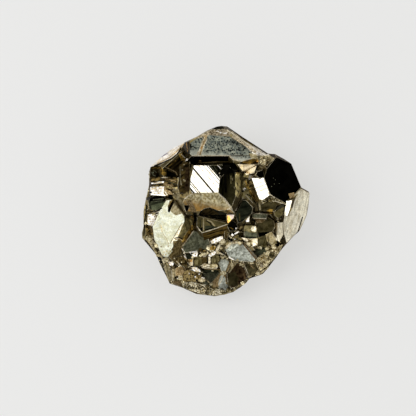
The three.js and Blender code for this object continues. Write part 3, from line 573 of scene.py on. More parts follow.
# %% The golden face and its neighbours
patch("pale_gold", 1, 3.7, 14, 9.5, 13.9, 7.2, 12.3, 6.4, 11.8, 5.4, 11.9)
patch("pale_gold", 1.9, 3.7, 14, 5.3, 14, 5.6, 12, 5.3, 12.2)
patch("pale_gold", 1.4, 9.4, 13.6, 8.9, 12.1, 7.5, 11.2, 6.4, 10.8, 5.9, 11.4, 7.1, 12.4)
patch("pale_gold", 1.8, 7.8, 12.7, 8, 11.5, 7.5, 11.2, 6.4, 10.8, 5.9, 11.4, 7.1, 12.4)
streak("tan", 0.7, 0.15, 9.4, 13.8, 7.1, 12.4, 6, 11.6)
specks("black", 1, 0.35, 6.1, 11.6)
patch("white", 0.9, 6.9, 10.2, 7.6, 10.8, 9, 10.5, 8, 9.9, 7.4, 9.2)
specks("dull_brown", 1, 0.2, 7.5, 9.9)
streak("cream", 0.8, 0.3, 12.9, 5.5, 14.8, 4.1)
streak("cream", 0.9, 0.25, 14.8, 3.2, 18.3, 2)

# %% [markdown]
# The tan side of the large crystal is darker towards its foot, and the olive crystal in front of it is
# crossed by two pale stripes and has dark steps at its left.

# %% The tan side and the olive crystal
streak("cream", 0.6, 0.5, -1.6, 5, 0, 3.6, 2.3, 0.5)
streak("cream", 0.6, 0.3, -12, 3.5, -10.8, 4.7, -9.4, 5.3)
specks("moss", 0.7, 0.22, -11.7, 3.6, -10.6, 4.2, -8.9, 4.8, -5.6, 4.6, -2.2, 4.3, -0.9, 3.4, -8.2, 3.6)
patch("tan", 0.35, -11.6, 3.2, -10, 3.4, -8.8, 1.2, -8.2, -0.3, -10, -0.2)
# the dark arch at the foot of the tan side and the dark line along it are painted shade
patch("umber", 0.1, -7.3, -1.2, -6.6, 0.2, -5.2, 1, -4.2, 0.9, -2.6, -0.1, -1.6, -0.75, -1.5, -1.2)
streak("black", 1.5, 0.35, -7.4, -1.35, -4.5, -1.2, 0.5, -0.9)
patch("umber", 1, 0.5, 0.8, 2.3, -0.6, 0.5, -0.6)
patch("umber", 0.6, -9.9, -0.2, -9.5, -5.4, -8.3, -6, -8.5, -0.3)
patch("black", 1, -9.4, -0.2, -8.3, -0.2, -8.2, -2.8, -9, -3)
specks("amber", 0.6, 0.25, -9.9, -1.6)
streak("beige", 1, 0.35, -6.3, -1.8, -6.3, -5.6)
streak("beige", 1.2, 0.4, -5.2, -2.5, -4, -3, -2.9, -4.4)
streak("black", 2, 0.3, -5.6, -2.7, -4.4, -3.4, -3.6, -4.6)
streak("dark_green", 0.6, 0.3, -7.3, -2.4, -7.2, -4.8)
streak("beige", 0.8, 0.25, -7.8, -1.4, 0.4, -3.3)
streak("cream", 0.7, 0.2, -6.7, -6.3, -4.5, -5.7, 0.8, -3.8)
streak("black", 1, 0.3, -5.4, -7, -0.4, -5.4)
streak("black", 1, 0.25, -4.4, -7.9, -1, -6.8)
patch("dark_green", 0.9, -5.9, -4.3, -3.4, -4.2, -2.2, -4.8, -3.6, -5.2, -5.9, -5.6)
patch("black", 1, -5.9, -5.7, -3.6, -5.2, -3.4, -4.8, -5.8, -5.3)
patch("black", 2, -7.3, -5, -6.5, -4.6, -6.5, -5.9, -6.8, -5.9)
streak("white", 0.7, 0.18, -8.2, -4.5, -7.3, -5.9)
streak("black", 1, 0.2, -7.8, -4.6, -6.9, -5.8)
patch("amber", 2.6, 0.75, -3.4, 1.2, -3.4, 2, -2.5, 1.3, -1.2, 0.75, -1.1)
streak("cream", 0.7, 0.25, 0.6, 0.6, 1.3, 0.9, 2.3, 0.2, 2.9, -0.4)
streak("moss", 0.9, 0.3, 4.4, -0.5, 4.5, -2.8)
specks("white", 1, 0.28, 3.4, -5)
streak("gold", 1, 0.3, 1.5, -4.7, 2.6, -5.3)

# %% [markdown]
# On the right the crystals are small, with pale edges between dark faces; the pale edges are painted
# highlights. The steep ones show only as thin shapes to the viewer, so their patches are cut in the viewer's
# plane and run on over the faces beside them.

# %% Stains and streaks on the right
patch("gold", 1.6, 12.2, -0.6, 14.2, -0.7, 14.4, 0.6, 13, 0.9)
streak("beige", 1, 0.5, 10.3, 2.6, 10.6, 0.5)
streak("cream", 0.5, 0.25, 8.4, -0.3, 9.2, -0.6, 13.5, -0.8, 15.1, -2.6, 16.8, -2.1)
streak("cream", 0.6, 0.25, 8.6, -2, 12.4, -2.1)
patch("tan", 0.5, 8.9, -2.3, 12.5, -2.4, 11, -3.4, 9.6, -3.5)
patch("black", 3, 15.2, 1.1, 15.2, 0.2, 16, 0.5, 18.4, 1.8, 17.2, 2.4)
patch("black", 1, 10, -6.3, 14, -5.9, 13, -7.4, 10.3, -8)
patch("moss", 1.2, 5.7, -4, 9.6, -4, 9.6, -5.2, 5.7, -6)
patch("umber", 0.4, 5.5, -6.6, 6.5, -8.1, 5.5, -8.1)
patch("umber", 0.4, 5.5, -3.8, 6.6, -3.8, 5.5, -4.8)
patch("dark_green", 1.4, 5.7, -6.9, 7.4, -7.2, 9.7, -6.7, 9.7, -8, 5.7, -8)
patch("moss", 1.4, 6.4, -4.3, 8.6, -4, 9.7, -4.6, 9.7, -6.4, 7.2, -6.2, 6.1, -5.2)
patch("cream", 1.4, 8.3, -4.4, 9.1, -4.2, 9.6, -5, 9.5, -5.9, 8.5, -6.1, 7.7, -5.4)
patch("umber", 0.6, 9, -3.9, 9.9, -3.9, 9.9, -5)
streak("black", 1, 0.3, 6, -7.8, 9.5, -7.7)
patch("cream", 0.9, 4.7, -7.7, 7.5, -8.1, 7.6, -9.3, 6.4, -9.2)
patch("cream", 1.35, 7.4, -8.3, 9.8, -7.9, 9.8, -10.3, 8.2, -10.5, 7.7, -9.4)
patch("moss", 0.5, 9.8, -7.8, 12.6, -7, 12.9, -9, 12.4, -10.8, 9.9, -10.4)
patch("beige", 1.4, 12.2, -6.9, 14, -6, 15.5, -8.4, 14.2, -9.8, 12.6, -8.8)
patch("dark_green", 1.2, 9.8, -10.5, 12.5, -10.9, 12.6, -11.8, 10, -13.2, 8.8, -12.2)
patch("crust", 1.3, 9.4, -14.2, 13.2, -11.6, 17.4, -9.8, 16.4, -12.6, 11.4, -18.4, 9.2, -19.4)
patch("moss", 0.7, 13.4, -12.4, 14.6, -11.9, 15.1, -13.2, 14.2, -14.2, 13.3, -13.4)
patch("cream", 0.7, 10.4, -15.6, 11.6, -15.2, 11.8, -16.6, 10.8, -17)
patch("black", 1, 15.2, -10, 16.1, -9.3, 16.9, -8.6, 16.3, -10.4, 15.6, -10.6)
patch("flank", 1.35, 15.2, -3.4, 17.3, -3.2, 17.5, -6.6, 16.4, -9, 15.4, -8.6)
streak("dull_brown", 0.8, 0.2, 17.4, -1.6, 17.3, -5.2, 17.6, -7.4)
patch("tan", 1.2, 18.9, 5.3, 19.4, 3.7, 20.8, 4.3, 20.6, 5.7)
streak("moss", 0.8, 0.4, 18.6, 3.2, 20.6, 4, 21.6, 5.2)
specks("grey", 1, 0.14, 14.7, 8.2, 15, 9.4, 14.4, 9.9, 16.2, 8.3, 13.9, 7.4)

# %% [markdown]
# The front of the lump is a crowd of small crystals, white ones and olive ones side by side; the white is a
# painted highlight. Where a face mirrors a white neighbour, it is painted half white and half olive, a
# painted reflection with a straight border.

# %% Stains and streaks at the front
streak("white", 0.9, 0.35, 1.2, -13.6, 2.9, -14.5)
streak("black", 1, 0.35, 0.9, -14.1, 2.9, -15.2)
patch("light_grey", 1.3, 0.5, -11, 2.3, -9.1, 4.8, -8.9, 4.2, -10.4, 1.6, -11.8)
streak("cream", 0.9, 0.7, 0.3, -11, 2, -9.4, 4.4, -9.3)
patch("light_grey", 0.75, 4.4, -12.2, 7, -11.4, 9.3, -14.6, 7.8, -14.9, 5.4, -14)
streak("red_brown", 1, 0.45, 5.3, -9.3, 9.3, -14.1)
streak("cream", 0.6, 0.25, 5.9, -9.2, 9.7, -13.7)
streak("beige", 0.9, 0.8, 4.1, -14.3, 1.2, -18.2)
patch("red_brown", 1, 4.5, -14.9, 5.4, -16.6, 2.9, -17, 3.1, -16.4)
patch("red_brown", 1.6, 4.9, -15.6, 5.4, -18, 5.6, -20.6, 6.5, -20.3, 6.4, -18.4)
patch("olive", 0.5, 1, -18.8, 3.2, -18, 4.3, -20.2, 3.6, -22.4, 1.2, -22.2)
streak("cream", 0.6, 0.35, 5.4, -14.8, 6.5, -17.4, 7.2, -20)
patch("moss", 0.4, 6.2, -15.2, 9.4, -15.6, 10.2, -17.4, 8.6, -19.4, 7.3, -19.2)
streak("tan", 0.8, 0.3, 7.4, -15.8, 8.9, -17.2)

# %% The small crystals at the front left
# the white patches here are painted highlights on faces turned up to the soft box
streak("white", 0.9, 0.25, -12.8, -10.9, -12.1, -12, -11.4, -14.2)
specks("grey", 0.9, 0.6, -6.8, -8.1)
patch("gold", 1, -3.6, -9.6, -2.9, -8.9, -2.1, -9.2, -1.4, -8.9, -1.2, -9.4, -2.4, -10)
patch("dark_green", 0.5, -11.5, -12.7, -9.6, -12.8, -9.8, -14.4, -11.1, -14.3)
patch("white", 1, -10.7, -12, -8.2, -11.7, -7.9, -12.6, -8.4, -13.6, -9.4, -13.4)
patch("white", 1, -7.4, -12.1, -6.9, -12.2, -5.8, -13.3, -6.7, -13.3)
patch("black", 1, -10.1, -12.1, -9.3, -12.6, -10, -12.9)
specks("umber", 1, 0.2, -8.8, -12.9)
patch("umber", 1, -7.7, -10.9, -5.4, -11.4, -6.4, -12, -7.9, -12.1)
patch("white", 1, -4.9, -12.4, -3.2, -12, -2.8, -12.8, -4, -13.6, -4.9, -13.3)
patch("moss", 0.9, -9.3, -13.8, -7, -13.5, -6.8, -15.6, -8.6, -16, -9.3, -15.2)
patch("umber", 1, -7, -13.5, -5, -13.3, -4.9, -15.4, -6.8, -15.7)
streak("cream", 0.9, 0.35, -4.6, -13.8, -4.2, -15.2)
patch("moss", 0.9, -4, -13.4, -2.4, -12.8, -1.5, -13.6, -1.7, -15.2, -3.8, -15.4)
patch("tan", 1.5, -10.9, -14.3, -9.4, -14.3, -9.6, -15.1, -10.7, -15.2)
specks("amber", 1.4, 0.25, -10, -14.8)
patch("cream", 0.9, -10.7, -15.2, -9.6, -15.1, -9.4, -16, -10.4, -16.2)
patch("cream", 0.85, -7.3, -16.3, -5.9, -15.5, -4.5, -15.9, -4.5, -16.9, -6.6, -16.7)
patch("beige", 1.25, -4.5, -15.8, -2.4, -15.7, -1.8, -16.4, -3.2, -17, -4.5, -16.9)
streak("olive", 0.8, 0.2, -6.3, -16.9, -4.9, -16.5, -2.6, -16.7)
streak("tan", 0.9, 0.3, -6, -17.2, -1.4, -17.4)
patch("white", 0.95, -11, -17, -9.4, -16.6, -7.3, -17.3, -7.2, -18.2, -8.4, -17.9, -10.6, -18)
patch("tan", 0.9, -14.3, -17.2, -13.2, -16.3, -12.2, -16.9, -12, -19.2, -13.8, -19.3)
patch("beige", 1, -15.9, -16.4, -14.8, -16.4, -14.6, -20, -15.6, -20)
patch("white", 0.9, -17.2, -15.2, -15.6, -15, -15.2, -15.8, -16.4, -16.2)
patch("dull_brown", 1.2, -15, -13.8, -12.2, -13.2, -11, -14.6, -11.2, -16.4, -13, -16.2, -14.8, -15.2)
streak("cream", 0.7, 0.25, -14.4, -14.8, -12.8, -16.3)
streak("tan", 0.8, 0.25, -12.2, -18, -11.7, -17.1, -10.8, -16.6)

# %% [markdown]
# Lowest at the front lie a knobbly dome, dotted dark and light, and grey crystals with pale edges. The dark
# dots are painted shade in its hollows, and the light dots and the pale edges are painted highlights.

# %% The dome and the grey crystals
patch("dome", 1.1, -12.4, -18.4, -11, -17.4, -8, -18.4, -6.9, -19.4, -7.2, -21, -12.6, -21)
patch("grey", 0.55, -6.5, -17.9, -1.8, -17.9, -1.7, -19.2, -3.6, -21.4, -5.6, -20.4, -6.7, -19)
patch("dark_green", 0.7, -6.5, -17.5, -1.8, -17.5, -1.8, -18.2, -3, -18.6, -6.3, -18.4)
patch("tan", 0.6, -3.9, -21.4, -3, -23, -1.9, -21.6, -0.4, -18.6, -1.6, -18.8)
patch("light_grey", 0.7, -1.3, -19.4, -0.4, -18.8, 0.3, -20, 0.5, -23, -1.6, -23.2, -1.9, -21.8)
streak("cream", 0.7, 0.3, -0.2, -18.8, -0.9, -20.6, -2, -22.8)
streak("cream", 0.6, 0.25, -6.1, -20.1, -4.6, -21.4)
patch("white", 0.9, -7.3, -13.2, -7, -12.4, -5.6, -13.3, -5.9, -13.7)
patch("black", 1, -1.9, -22.8, -1.4, -23.2, -0.3, -23.5, 0.3, -23.8, -0.6, -23)
# dark dots: painted shade in the hollows of the dome
for across, up, radius in [(-8.3, -20.7, 0.35), (-7.7, -20.9, 0.3), (-9.6, -18.9, 0.25), (-11.2, -20.2, 0.3),
                           (-8.9, -18.5, 0.2), (-10.2, -20.1, 0.2), (-11.6, -18.9, 0.2), (-9.1, -20.3, 0.2)]:
    specks("black", 1, radius, across, up)
# light dots: painted highlights
for across, up, radius in [(-10.6, -18.6, 0.25), (-8.8, -19.6, 0.3), (-14.1, -20.1, 0.22),
                           (-12.7, -20.5, 0.25), (-4.9, -11.4, 0.25), (-7.6, -18.8, 0.25), (-6.7, -20, 0.4)]:
    specks("white", 0.9, radius, across, up)
patch("umber", 1.3, -7.9, -11.4, -7.2, -10.8, -5.4, -11.8, -5.3, -12.5, -6.4, -12.3)
specks("amber", 0.8, 0.25, -3.9, -10.4)
specks("umber", 0.5, 0.3, -3.4, -10.9)
specks("white", 1, 0.3, -4.9, -11.2)
specks("cream", 1, 0.2, -2.9, -10.4)
specks("amber", 1, 0.2, -16.4, -15.5)

# %% [markdown]
# Round the lower edge runs a ledge, streaky at the left and pale and granular at the front, with a dark rim
# where the crust turns down, painted as shade. The rim is the last mark, so that it lies over all others.

# %% The rim of the ledge
patch("beige", 1, -23.6, -7.4, -22, -7, -19.4, -12.6, -18.4, -13.8, -19.8, -13.6, -22.8, -9.6)
patch("beige", 0.8, -18.5, -14.2, -16.9, -15, -16, -18, -15.6, -21, -17, -20.8, -18, -17.5)
streak("moss", 0.6, 0.25, -22.6, -7.6, -19.4, -13)
streak("moss", 0.6, 0.25, -17.6, -15.4, -16.5, -20.6)
patch("black", 1, -20.2, -13.4, -18.6, -13.9, -18.3, -15.6, -19.2, -15.4)
# the dark rim along the outline, painted shade where the crust turns down and under
streak("black", 1, 0.4, -23.9, -8.6, -22.8, -9.7, -20.2, -13.6, -18.6, -16.4, -17.4, -20.2, -16.9, -21.6)
streak("dull_brown", 0.6, 0.4, -16.4, -22, -12, -23.4, -7, -25)
streak("black", 2, 0.3, 23.2, -1.6, 21.8, -6, 19.6, -8.8, 16.4, -12.5, 12.8, -16.7, 7.8, -20)
stone.normal_update()
print("faces after all cuts:", len(stone.faces))

# %% [markdown]
# The cluster grew as one, so the cut mesh is one piece. It stands for the solid and takes its place in the
# picture. Both could be shown, but two surfaces in one place flicker.

# %% The crystals as a piece
def add_object(name, data):
    made = bpy.data.objects.new(name, data)
    bpy.context.scene.collection.objects.link(made)
    return made


crystal_mesh = bpy.data.meshes.new("crystals")
stone.to_mesh(crystal_mesh)
crystals = add_object("crystals", crystal_mesh)
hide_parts("pyrite_cluster")
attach(crystals, "root")
print("crystals:", len(crystal_mesh.polygons), "faces")

# %% [markdown]
# Pyrite is a metal to the eye: its colour is in its reflection. Each finish therefore has a tint, a tarnish
# that comes in soft clouds or in streaks, and a roughness that says how sharp the mirror is. Etched and
# stained faces are only partly metal, so they keep their colour whatever they face, and so are the finishes
# for painted highlights and painted reflections, so these stay bright. A face can have little pits, painted
# dark as the shade in them, and can fade from one colour to another. In the gaps the ore is darker and
# browner, because rust stays there. What is not metal mirrors the room in white where it is seen at a slant,
# which would turn the steep dark faces grey, so that reflection is made weaker and takes the tint of the
# ore.
# Painted pictures could hold all this, but noise stays sharp at any distance and needs no unwrapping.

# %% One recipe for all the finishes
def shade(red, green, blue):
    """A colour written as on a colour chart, from 0 to 255, as the amounts of light that it reflects."""
    return tuple((part / 255) ** 2.2 for part in (red, green, blue))


grazing_light = 0.25
cloud_edge = (0.42, 0.62)
pit_size = 0.6
painted_pit_shade = shade(12, 18, 22)
pit_edge = (-0.05, 0.08)
grain_tones = (0.75, 1.2)
gap_reach = 1.5
rust_in_gaps = (0.5, 0.43, 0.28)


def ore_finish(tint, tarnish, mirror, metal=1.0, clouds=3.0, streaks=None, etched=0.0, pits=0.0, fade=None,
               uneven=0.3):
    """Mirror is the roughness, clouds a size in mm, streaks their direction in degrees."""
    finish = bpy.data.materials.new("ore")
    finish.use_nodes = True
    nodes, link = finish.node_tree.nodes, finish.node_tree.links.new
    surface = nodes["Principled BSDF"]
    ore_tint = (*shade(*tint), 1)
    for name, value in (("Base Color", ore_tint), ("Roughness", mirror), ("Metallic", metal),
                        ("Specular IOR Level", grazing_light), ("Specular Tint", ore_tint)):
        surface.inputs[name].default_value = value
    spot = nodes.new("ShaderNodeTexCoord").outputs["Object"]

    def fill(socket, value):
        if isinstance(value, bpy.types.NodeSocket):
            link(value, socket)
        else:
            socket.default_value = value

    def node(kind, **values):
        """A node with values or links for its sockets. In their names a _ stands for a space."""
        made = nodes.new("ShaderNode" + kind)
        for name, value in values.items():
            fill(made.inputs[name.replace("_", " ")], value)
        return made

    def noise(size, detail, where=spot):
        return node("TexNoise", Scale=1 / (size * MM), Detail=detail, Vector=where).outputs["Fac"]

    def smooth(value, low, high, first=0.0, last=1.0):
        ramp = node("MapRange", Value=value, From_Min=low, From_Max=high, To_Min=first, To_Max=last)
        ramp.interpolation_type = "SMOOTHSTEP"
        return ramp.outputs["Result"]

    def blend(share_of_second, first, second, way="MIX"):
        mix = nodes.new("ShaderNodeMix")
        mix.data_type = "RGBA"
        mix.blend_type = way
        for name, value in (("Factor", share_of_second), ("A", first), ("B", second)):
            fill(next(part for part in mix.inputs if part.name == name and part.enabled), value)
        return next(part for part in mix.outputs if part.enabled)

    cloud_places = spot
    if streaks is not None:
        turned = node("Mapping", Vector=spot, Rotation=(0, 0, math.radians(streaks)), Scale=(8, 1, 1))
        turned.vector_type = "TEXTURE"
        cloud_places = turned.outputs["Vector"]
    cloudy = smooth(noise(clouds, 6, cloud_places), *cloud_edge)
    colour = blend(cloudy, ore_tint, (*shade(*tarnish), 1))
    faded = None
    if fade:
        start, end, last_tint = fade
        way = place(*end) - place(*start)
        along = nodes.new("ShaderNodeVectorMath")
        along.operation = "DOT_PRODUCT"
        link(spot, along.inputs[0])
        along.inputs[1].default_value = way / way.length_squared
        first = place(*start).dot(way) / way.length_squared
        faded = smooth(along.outputs["Value"], first, first + 1)
        colour = blend(faded, colour, (*shade(*last_tint), 1))
    if pits:
        cells = node("TexVoronoi", Scale=1 / (pit_size * MM), Vector=spot)
        crowded = smooth(noise(1.2, 3), 0.35, 0.65, 0.31, 0.31 + 0.2 * pits)
        rim = nodes.new("ShaderNodeMath")
        rim.operation = "SUBTRACT"
        link(crowded, rim.inputs[0])
        link(cells.outputs["Distance"], rim.inputs[1])
        holes = smooth(rim.outputs["Value"], *pit_edge)
        if faded:
            holes = blend(faded, holes, (0, 0, 0, 1))
        # the pits are painted dark, a painted shade for hollows that the mesh doesn't have
        colour = blend(holes, colour, (*painted_pit_shade, 1))
    grain = smooth(noise(0.3, 4), 0.3, 0.7, *grain_tones)
    colour = blend(1.0, colour, grain, "MULTIPLY")
    uneven_tone = smooth(noise(1.8, 2), 0.3, 0.7, 1 - uneven, 1 + uneven)
    colour = blend(1.0, colour, uneven_tone, "MULTIPLY")

    own_tone = nodes.new("ShaderNodeAttribute")
    own_tone.attribute_name = "tone"
    colour = blend(1.0, colour, own_tone.outputs["Fac"], "MULTIPLY")
    gap = node("AmbientOcclusion", Distance=gap_reach * MM)
    gap.samples = 8
    openness = smooth(gap.outputs["AO"], 0.25, 0.8)
    colour = blend(openness, blend(1.0, colour, (*rust_in_gaps, 1), "MULTIPLY"), colour)
    link(colour, surface.inputs["Base Color"])
    link(smooth(cloudy, 0, 1, mirror, mirror + 0.12 + etched), surface.inputs["Roughness"])

    relief = node("Bump", Strength=0.08 + 0.5 * etched, Distance=0.05 * MM, Height=noise(0.5, 5))
    waves = node("Bump", Strength=0.35, Distance=0.1 * MM, Height=noise(3, 2),
                 Normal=relief.outputs["Normal"])
    link(waves.outputs["Normal"], surface.inputs["Normal"])
    return finish


print("light from the pits:", [round(part, 4) for part in painted_pit_shade])

# %% [markdown]
# The finishes themselves, each with its tint, its tarnish, its roughness and how much of it is metal.
# Nearly black ones are the clean mirrors that face the dark of the tent, with that dark painted into their
# tint as well. White, cream, spark and edge are mostly painted highlights and painted reflections, pale_side
# and flank a painted reflection of the pale ground, and the other pale ones are etched and stained faces.

# %% All the finishes
finishes = {
    "common": ore_finish((168, 152, 108), (122, 109, 68), 0.2, metal=0.6, clouds=2.5),
    "slate": ore_finish((160, 163, 144), (98, 106, 100), 0.35, 0.4, clouds=0.8, etched=0.2, pits=1,
                        fade=((-3, 17.9), (-3.2, 16.4), (186, 187, 170))),
    "rim": ore_finish((186, 172, 144), (92, 78, 50), 0.4, 0.3, clouds=0.5, etched=0.3),
    "striped_side": ore_finish((236, 229, 216), (184, 174, 156), 0.3, 0.4, clouds=0.4, streaks=-34),
    # a painted reflection of the pale ground, bright whatever the side faces
    "pale_side": ore_finish((240, 234, 224), (214, 200, 176), 0.3, 0.3, clouds=0.5, streaks=33, uneven=0.1),
    "purple": ore_finish((150, 140, 152), (200, 194, 196), 0.4, 0.2, clouds=0.5, streaks=33),
    "bright": ore_finish((226, 224, 214), (216, 206, 182), 0.05, clouds=1.5, uneven=0.05),
    # white and cream: mostly painted highlights and reflections, partly metal so they stay bright whatever
    # they face
    "white": ore_finish((252, 250, 246), (206, 188, 146), 0.3, 0.4, clouds=0.5, uneven=0.2),
    "cream": ore_finish((246, 236, 208), (204, 186, 146), 0.3, 0.4, clouds=0.5, uneven=0.2),
    "pale_gold": ore_finish((236, 219, 184), (222, 199, 157), 0.3, 0.3, clouds=1.5, uneven=0.08),
    "pale_green": ore_finish((231, 233, 212), (219, 217, 182), 0.3, 0.3, clouds=1.2, uneven=0.06),
    "beige": ore_finish((176, 164, 130), (136, 122, 86), 0.3, 0.4, clouds=0.6, etched=0.1),
    "shaded_tan": ore_finish((188, 178, 142), (130, 116, 76), 0.3, 0.4, clouds=0.6, etched=0.1,
                             fade=((-6, 3.8), (-6.6, 0.8), (140, 108, 58))),
    "moss": ore_finish((156, 144, 100), (80, 70, 36), 0.25, 0.5, clouds=0.45, streaks=84),
    "striped_olive": ore_finish((136, 124, 82), (90, 82, 48), 0.2, 0.5, clouds=0.8, streaks=-15),
    "deep_olive": ore_finish((44, 42, 26), (14, 15, 10), 0.12, 0.8, clouds=0.7, streaks=84,
                             fade=((0, 8.6), (4.5, 7.4), (94, 88, 56))),
    "olive": ore_finish((112, 102, 68), (64, 58, 34), 0.2, 0.6, clouds=0.9),
    "umber": ore_finish((112, 94, 56), (24, 20, 11), 0.2, 0.6, clouds=0.5, streaks=40, uneven=0.5),
    # the dark reflection of the tent painted into the tint
    "black": ore_finish((32, 31, 25), (18, 18, 14), 0.08, 0.88, clouds=2),
    "dark_green": ore_finish((88, 92, 70), (40, 44, 34), 0.2, 0.6, clouds=0.6, streaks=20),
    "grey": ore_finish((110, 111, 90), (70, 71, 54), 0.28, 0.5, clouds=0.8, etched=0.1, uneven=0.35),
    "light_grey": ore_finish((192, 196, 182), (140, 142, 128), 0.3, 0.4, clouds=0.7, etched=0.1),
    "red_brown": ore_finish((90, 73, 50), (38, 25, 17), 0.2, 0.6, clouds=0.8),
    "dull_brown": ore_finish((104, 90, 58), (64, 53, 30), 0.3, 0.5, clouds=0.5, streaks=85),
    "tan": ore_finish((182, 158, 116), (124, 102, 64), 0.3, 0.4, clouds=0.4),
    "gold": ore_finish((134, 108, 52), (52, 40, 16), 0.2, 0.6, clouds=0.5, streaks=20),
    "amber": ore_finish((214, 156, 84), (120, 86, 40), 0.25, 0.5, clouds=0.35),
    "dome": ore_finish((172, 150, 100), (74, 60, 30), 0.3, 0.5, clouds=0.45, etched=0.2),
    "ledge": ore_finish((232, 224, 196), (168, 154, 118), 0.4, 0.2, clouds=0.4, etched=0.3, pits=0.4),
    # a painted glint
    "spark": ore_finish((255, 236, 222), (255, 214, 190), 0.2, 0.4, clouds=0.6),
    # a painted reflection of the pale ground on the steep flank
    "flank": ore_finish((222, 216, 194), (190, 180, 154), 0.35, 0.3, clouds=0.5, streaks=78, etched=0.1,
                        uneven=0.15),
    # the painted highlight on the bevelled edges
    "edge": ore_finish((232, 222, 192), (180, 164, 124), 0.3, 0.5, clouds=0.8),
    "crust": ore_finish((240, 227, 188), (155, 141, 98), 0.3, 0.4, clouds=0.4, etched=0.2),
}
for name in finish_names:
    finishes[name].name = name
    crystal_mesh.materials.append(finishes[name])
print("finishes:", len(finish_names))

# %% [markdown]
# The crust between the large crystals is a carpet of much smaller ones, cubes and twelve-faced crystals,
# turned every way. Rough noise on the surface could stand for them, but the crust glitters only because
# each grain has flat faces. So there are two shapes, each made once, with about the same reach from the
# middle.

# %% Shapes for the grains
golden_ratio = (1 + math.sqrt(5)) / 2
cube_half = 0.8
twelve_faced_half = 0.58
cube_corners = [Vector((x, y, z)) * cube_half for x in (-1, 1) for y in (-1, 1) for z in (-1, 1)]
twelve_faced_corners = [Vector(corner) * twelve_faced_half for corner in (
    [(x, y, z) for x in (-1, 1) for y in (-1, 1) for z in (-1, 1)]
    + [(0, y / golden_ratio, z * golden_ratio) for y in (-1, 1) for z in (-1, 1)]
    + [(y / golden_ratio, z * golden_ratio, 0) for y in (-1, 1) for z in (-1, 1)]
    + [(z * golden_ratio, 0, y / golden_ratio) for y in (-1, 1) for z in (-1, 1)]
)]


def hull_faces(corners):
    """The flat faces around a set of corners, as lists of corner numbers."""
    shape = bmesh.new()
    for corner in corners:
        shape.verts.new(corner)
    bmesh.ops.convex_hull(shape, input=shape.verts)
    bmesh.ops.dissolve_limit(shape, angle_limit=0.01, verts=shape.verts, edges=shape.edges)
    shape.verts.index_update()
    faces = [[corner.index for corner in face.verts] for face in shape.faces]
    places = [corner.co.copy() for corner in shape.verts]
    shape.free()
    return places, faces


grain_shapes = [hull_faces(cube_corners), hull_faces(twelve_faced_corners)]
print("corners of the two shapes:", [len(shape[0]) for shape in grain_shapes])

# %% [markdown]
# The grains are thickest on the ledge, at the lower right and beside the crystal at the top. They could be
# placed one by one, but only their crowd is seen, so each area has an outline, a number of grains and a
# range of sizes, the smallest being the most common. They are strewn with the fixed seed, each on the
# surface that the ray meets, and only where that surface is plain ore or crust, so the large faces stay
# clean.

# %% Where the grains lie
crust_areas = [
    # across and up of the corners of each area, how many grains, and their smallest and largest size
    ([(-17, -20.5), (-12, -21.2), (-4, -22.6), (2, -23.4), (7, -20.8), (6.5, -22), (0, -25.2), (-6, -25.2),
      (-12, -23.2), (-16.6, -21.8)], 260, (0.08, 0.17)),
    ([(9.2, -14.6), (13, -12), (15, -10.6), (17.5, -10.4), (15, -15), (11.5, -18.8), (9.4, -18.8)], 300,
     (0.08, 0.2)),
    ([(9, 14.2), (12, 13), (14.6, 15.4), (13.2, 17), (9, 16.2)], 120, (0.08, 0.22)),
    ([(-3.6, -10), (1.5, -6), (5.8, -3.6), (5.6, -8.6), (0, -12), (-4.4, -11.6)], 30, (0.08, 0.2)),
    ([(5, 4), (9, 3), (9.6, 4), (7.6, 9.6), (7.2, 12), (5, 12)], 30, (0.08, 0.2)),
    ([(12.6, -7), (16, -10), (18.6, -9.6), (17.2, -3), (15, -2.6)], 30, (0.08, 0.2)),
    ([(9.6, 4), (10.6, 2.4), (15.4, 2.6), (18.6, 2.4), (13, 5)], 60, (0.08, 0.22)),
]
grain_ground = ("common", "ledge", "dome", "crust")
farthest_corner = 1.7

ground_tree = BVHTree.FromPolygons([corner.co for corner in crystal_mesh.vertices],
                                   [list(face.vertices) for face in crystal_mesh.polygons])
low_corner, high_corner = (Vector(corner) for corner in cad_box)


def stays_within(point, reach):
    """Whether a grain stays in the box of the CAD solid and behind the outline that the viewer sees."""
    room = farthest_corner * reach
    if not all(low + room < part < high - room for low, part, high in zip(low_corner, point, high_corner)):
        return False
    above = point + towards_viewer * above_all * MM
    sideways = Vector((1, 0, 0))
    for step in range(6):
        shift = Matrix.Rotation(step * math.pi / 3, 3, towards_viewer) @ sideways * reach
        if ground_tree.ray_cast(above + shift, -towards_viewer)[0] is None:
            return False
    return True


def can_carry(index):
    return finish_names[crystal_mesh.polygons[index].material_index] in grain_ground


grains = []
middle_out = 0.25
shape_numbers = (0, 0, 1)  # two cubes to one twelve-faced crystal


def add_grain(point, normal, size):
    """A grain of the given size in mm, its middle a little above the surface."""
    if stays_within(point, size * MM):
        grains.append((point + normal * size * middle_out * MM, size * MM, draw.choice(shape_numbers),
                       Euler([draw.uniform(0, math.tau) for _ in range(3)]).to_matrix()))


for area, count, (smallest, largest) in crust_areas:
    least_across, most_across = min(x for x, y in area), max(x for x, y in area)
    least_up, most_up = min(y for x, y in area), max(y for x, y in area)
    placed = 0
    while placed < count:
        across, up = draw.uniform(least_across, most_across), draw.uniform(least_up, most_up)
        if not is_inside(across, up, area):
            continue
        placed += 1
        point, normal, index, _ = look_down(ground_tree, across, up)
        if point is not None and can_carry(index):
            add_grain(point, normal, smallest + (largest - smallest) * draw.random() ** 2)
print("grains on top:", len(grains))

# %% [markdown]
# The sides and the back of the lump are out of the viewer's sight. They carry coarser grains, thrown at the
# lump from all round, so that the stone also holds up when it is turned.

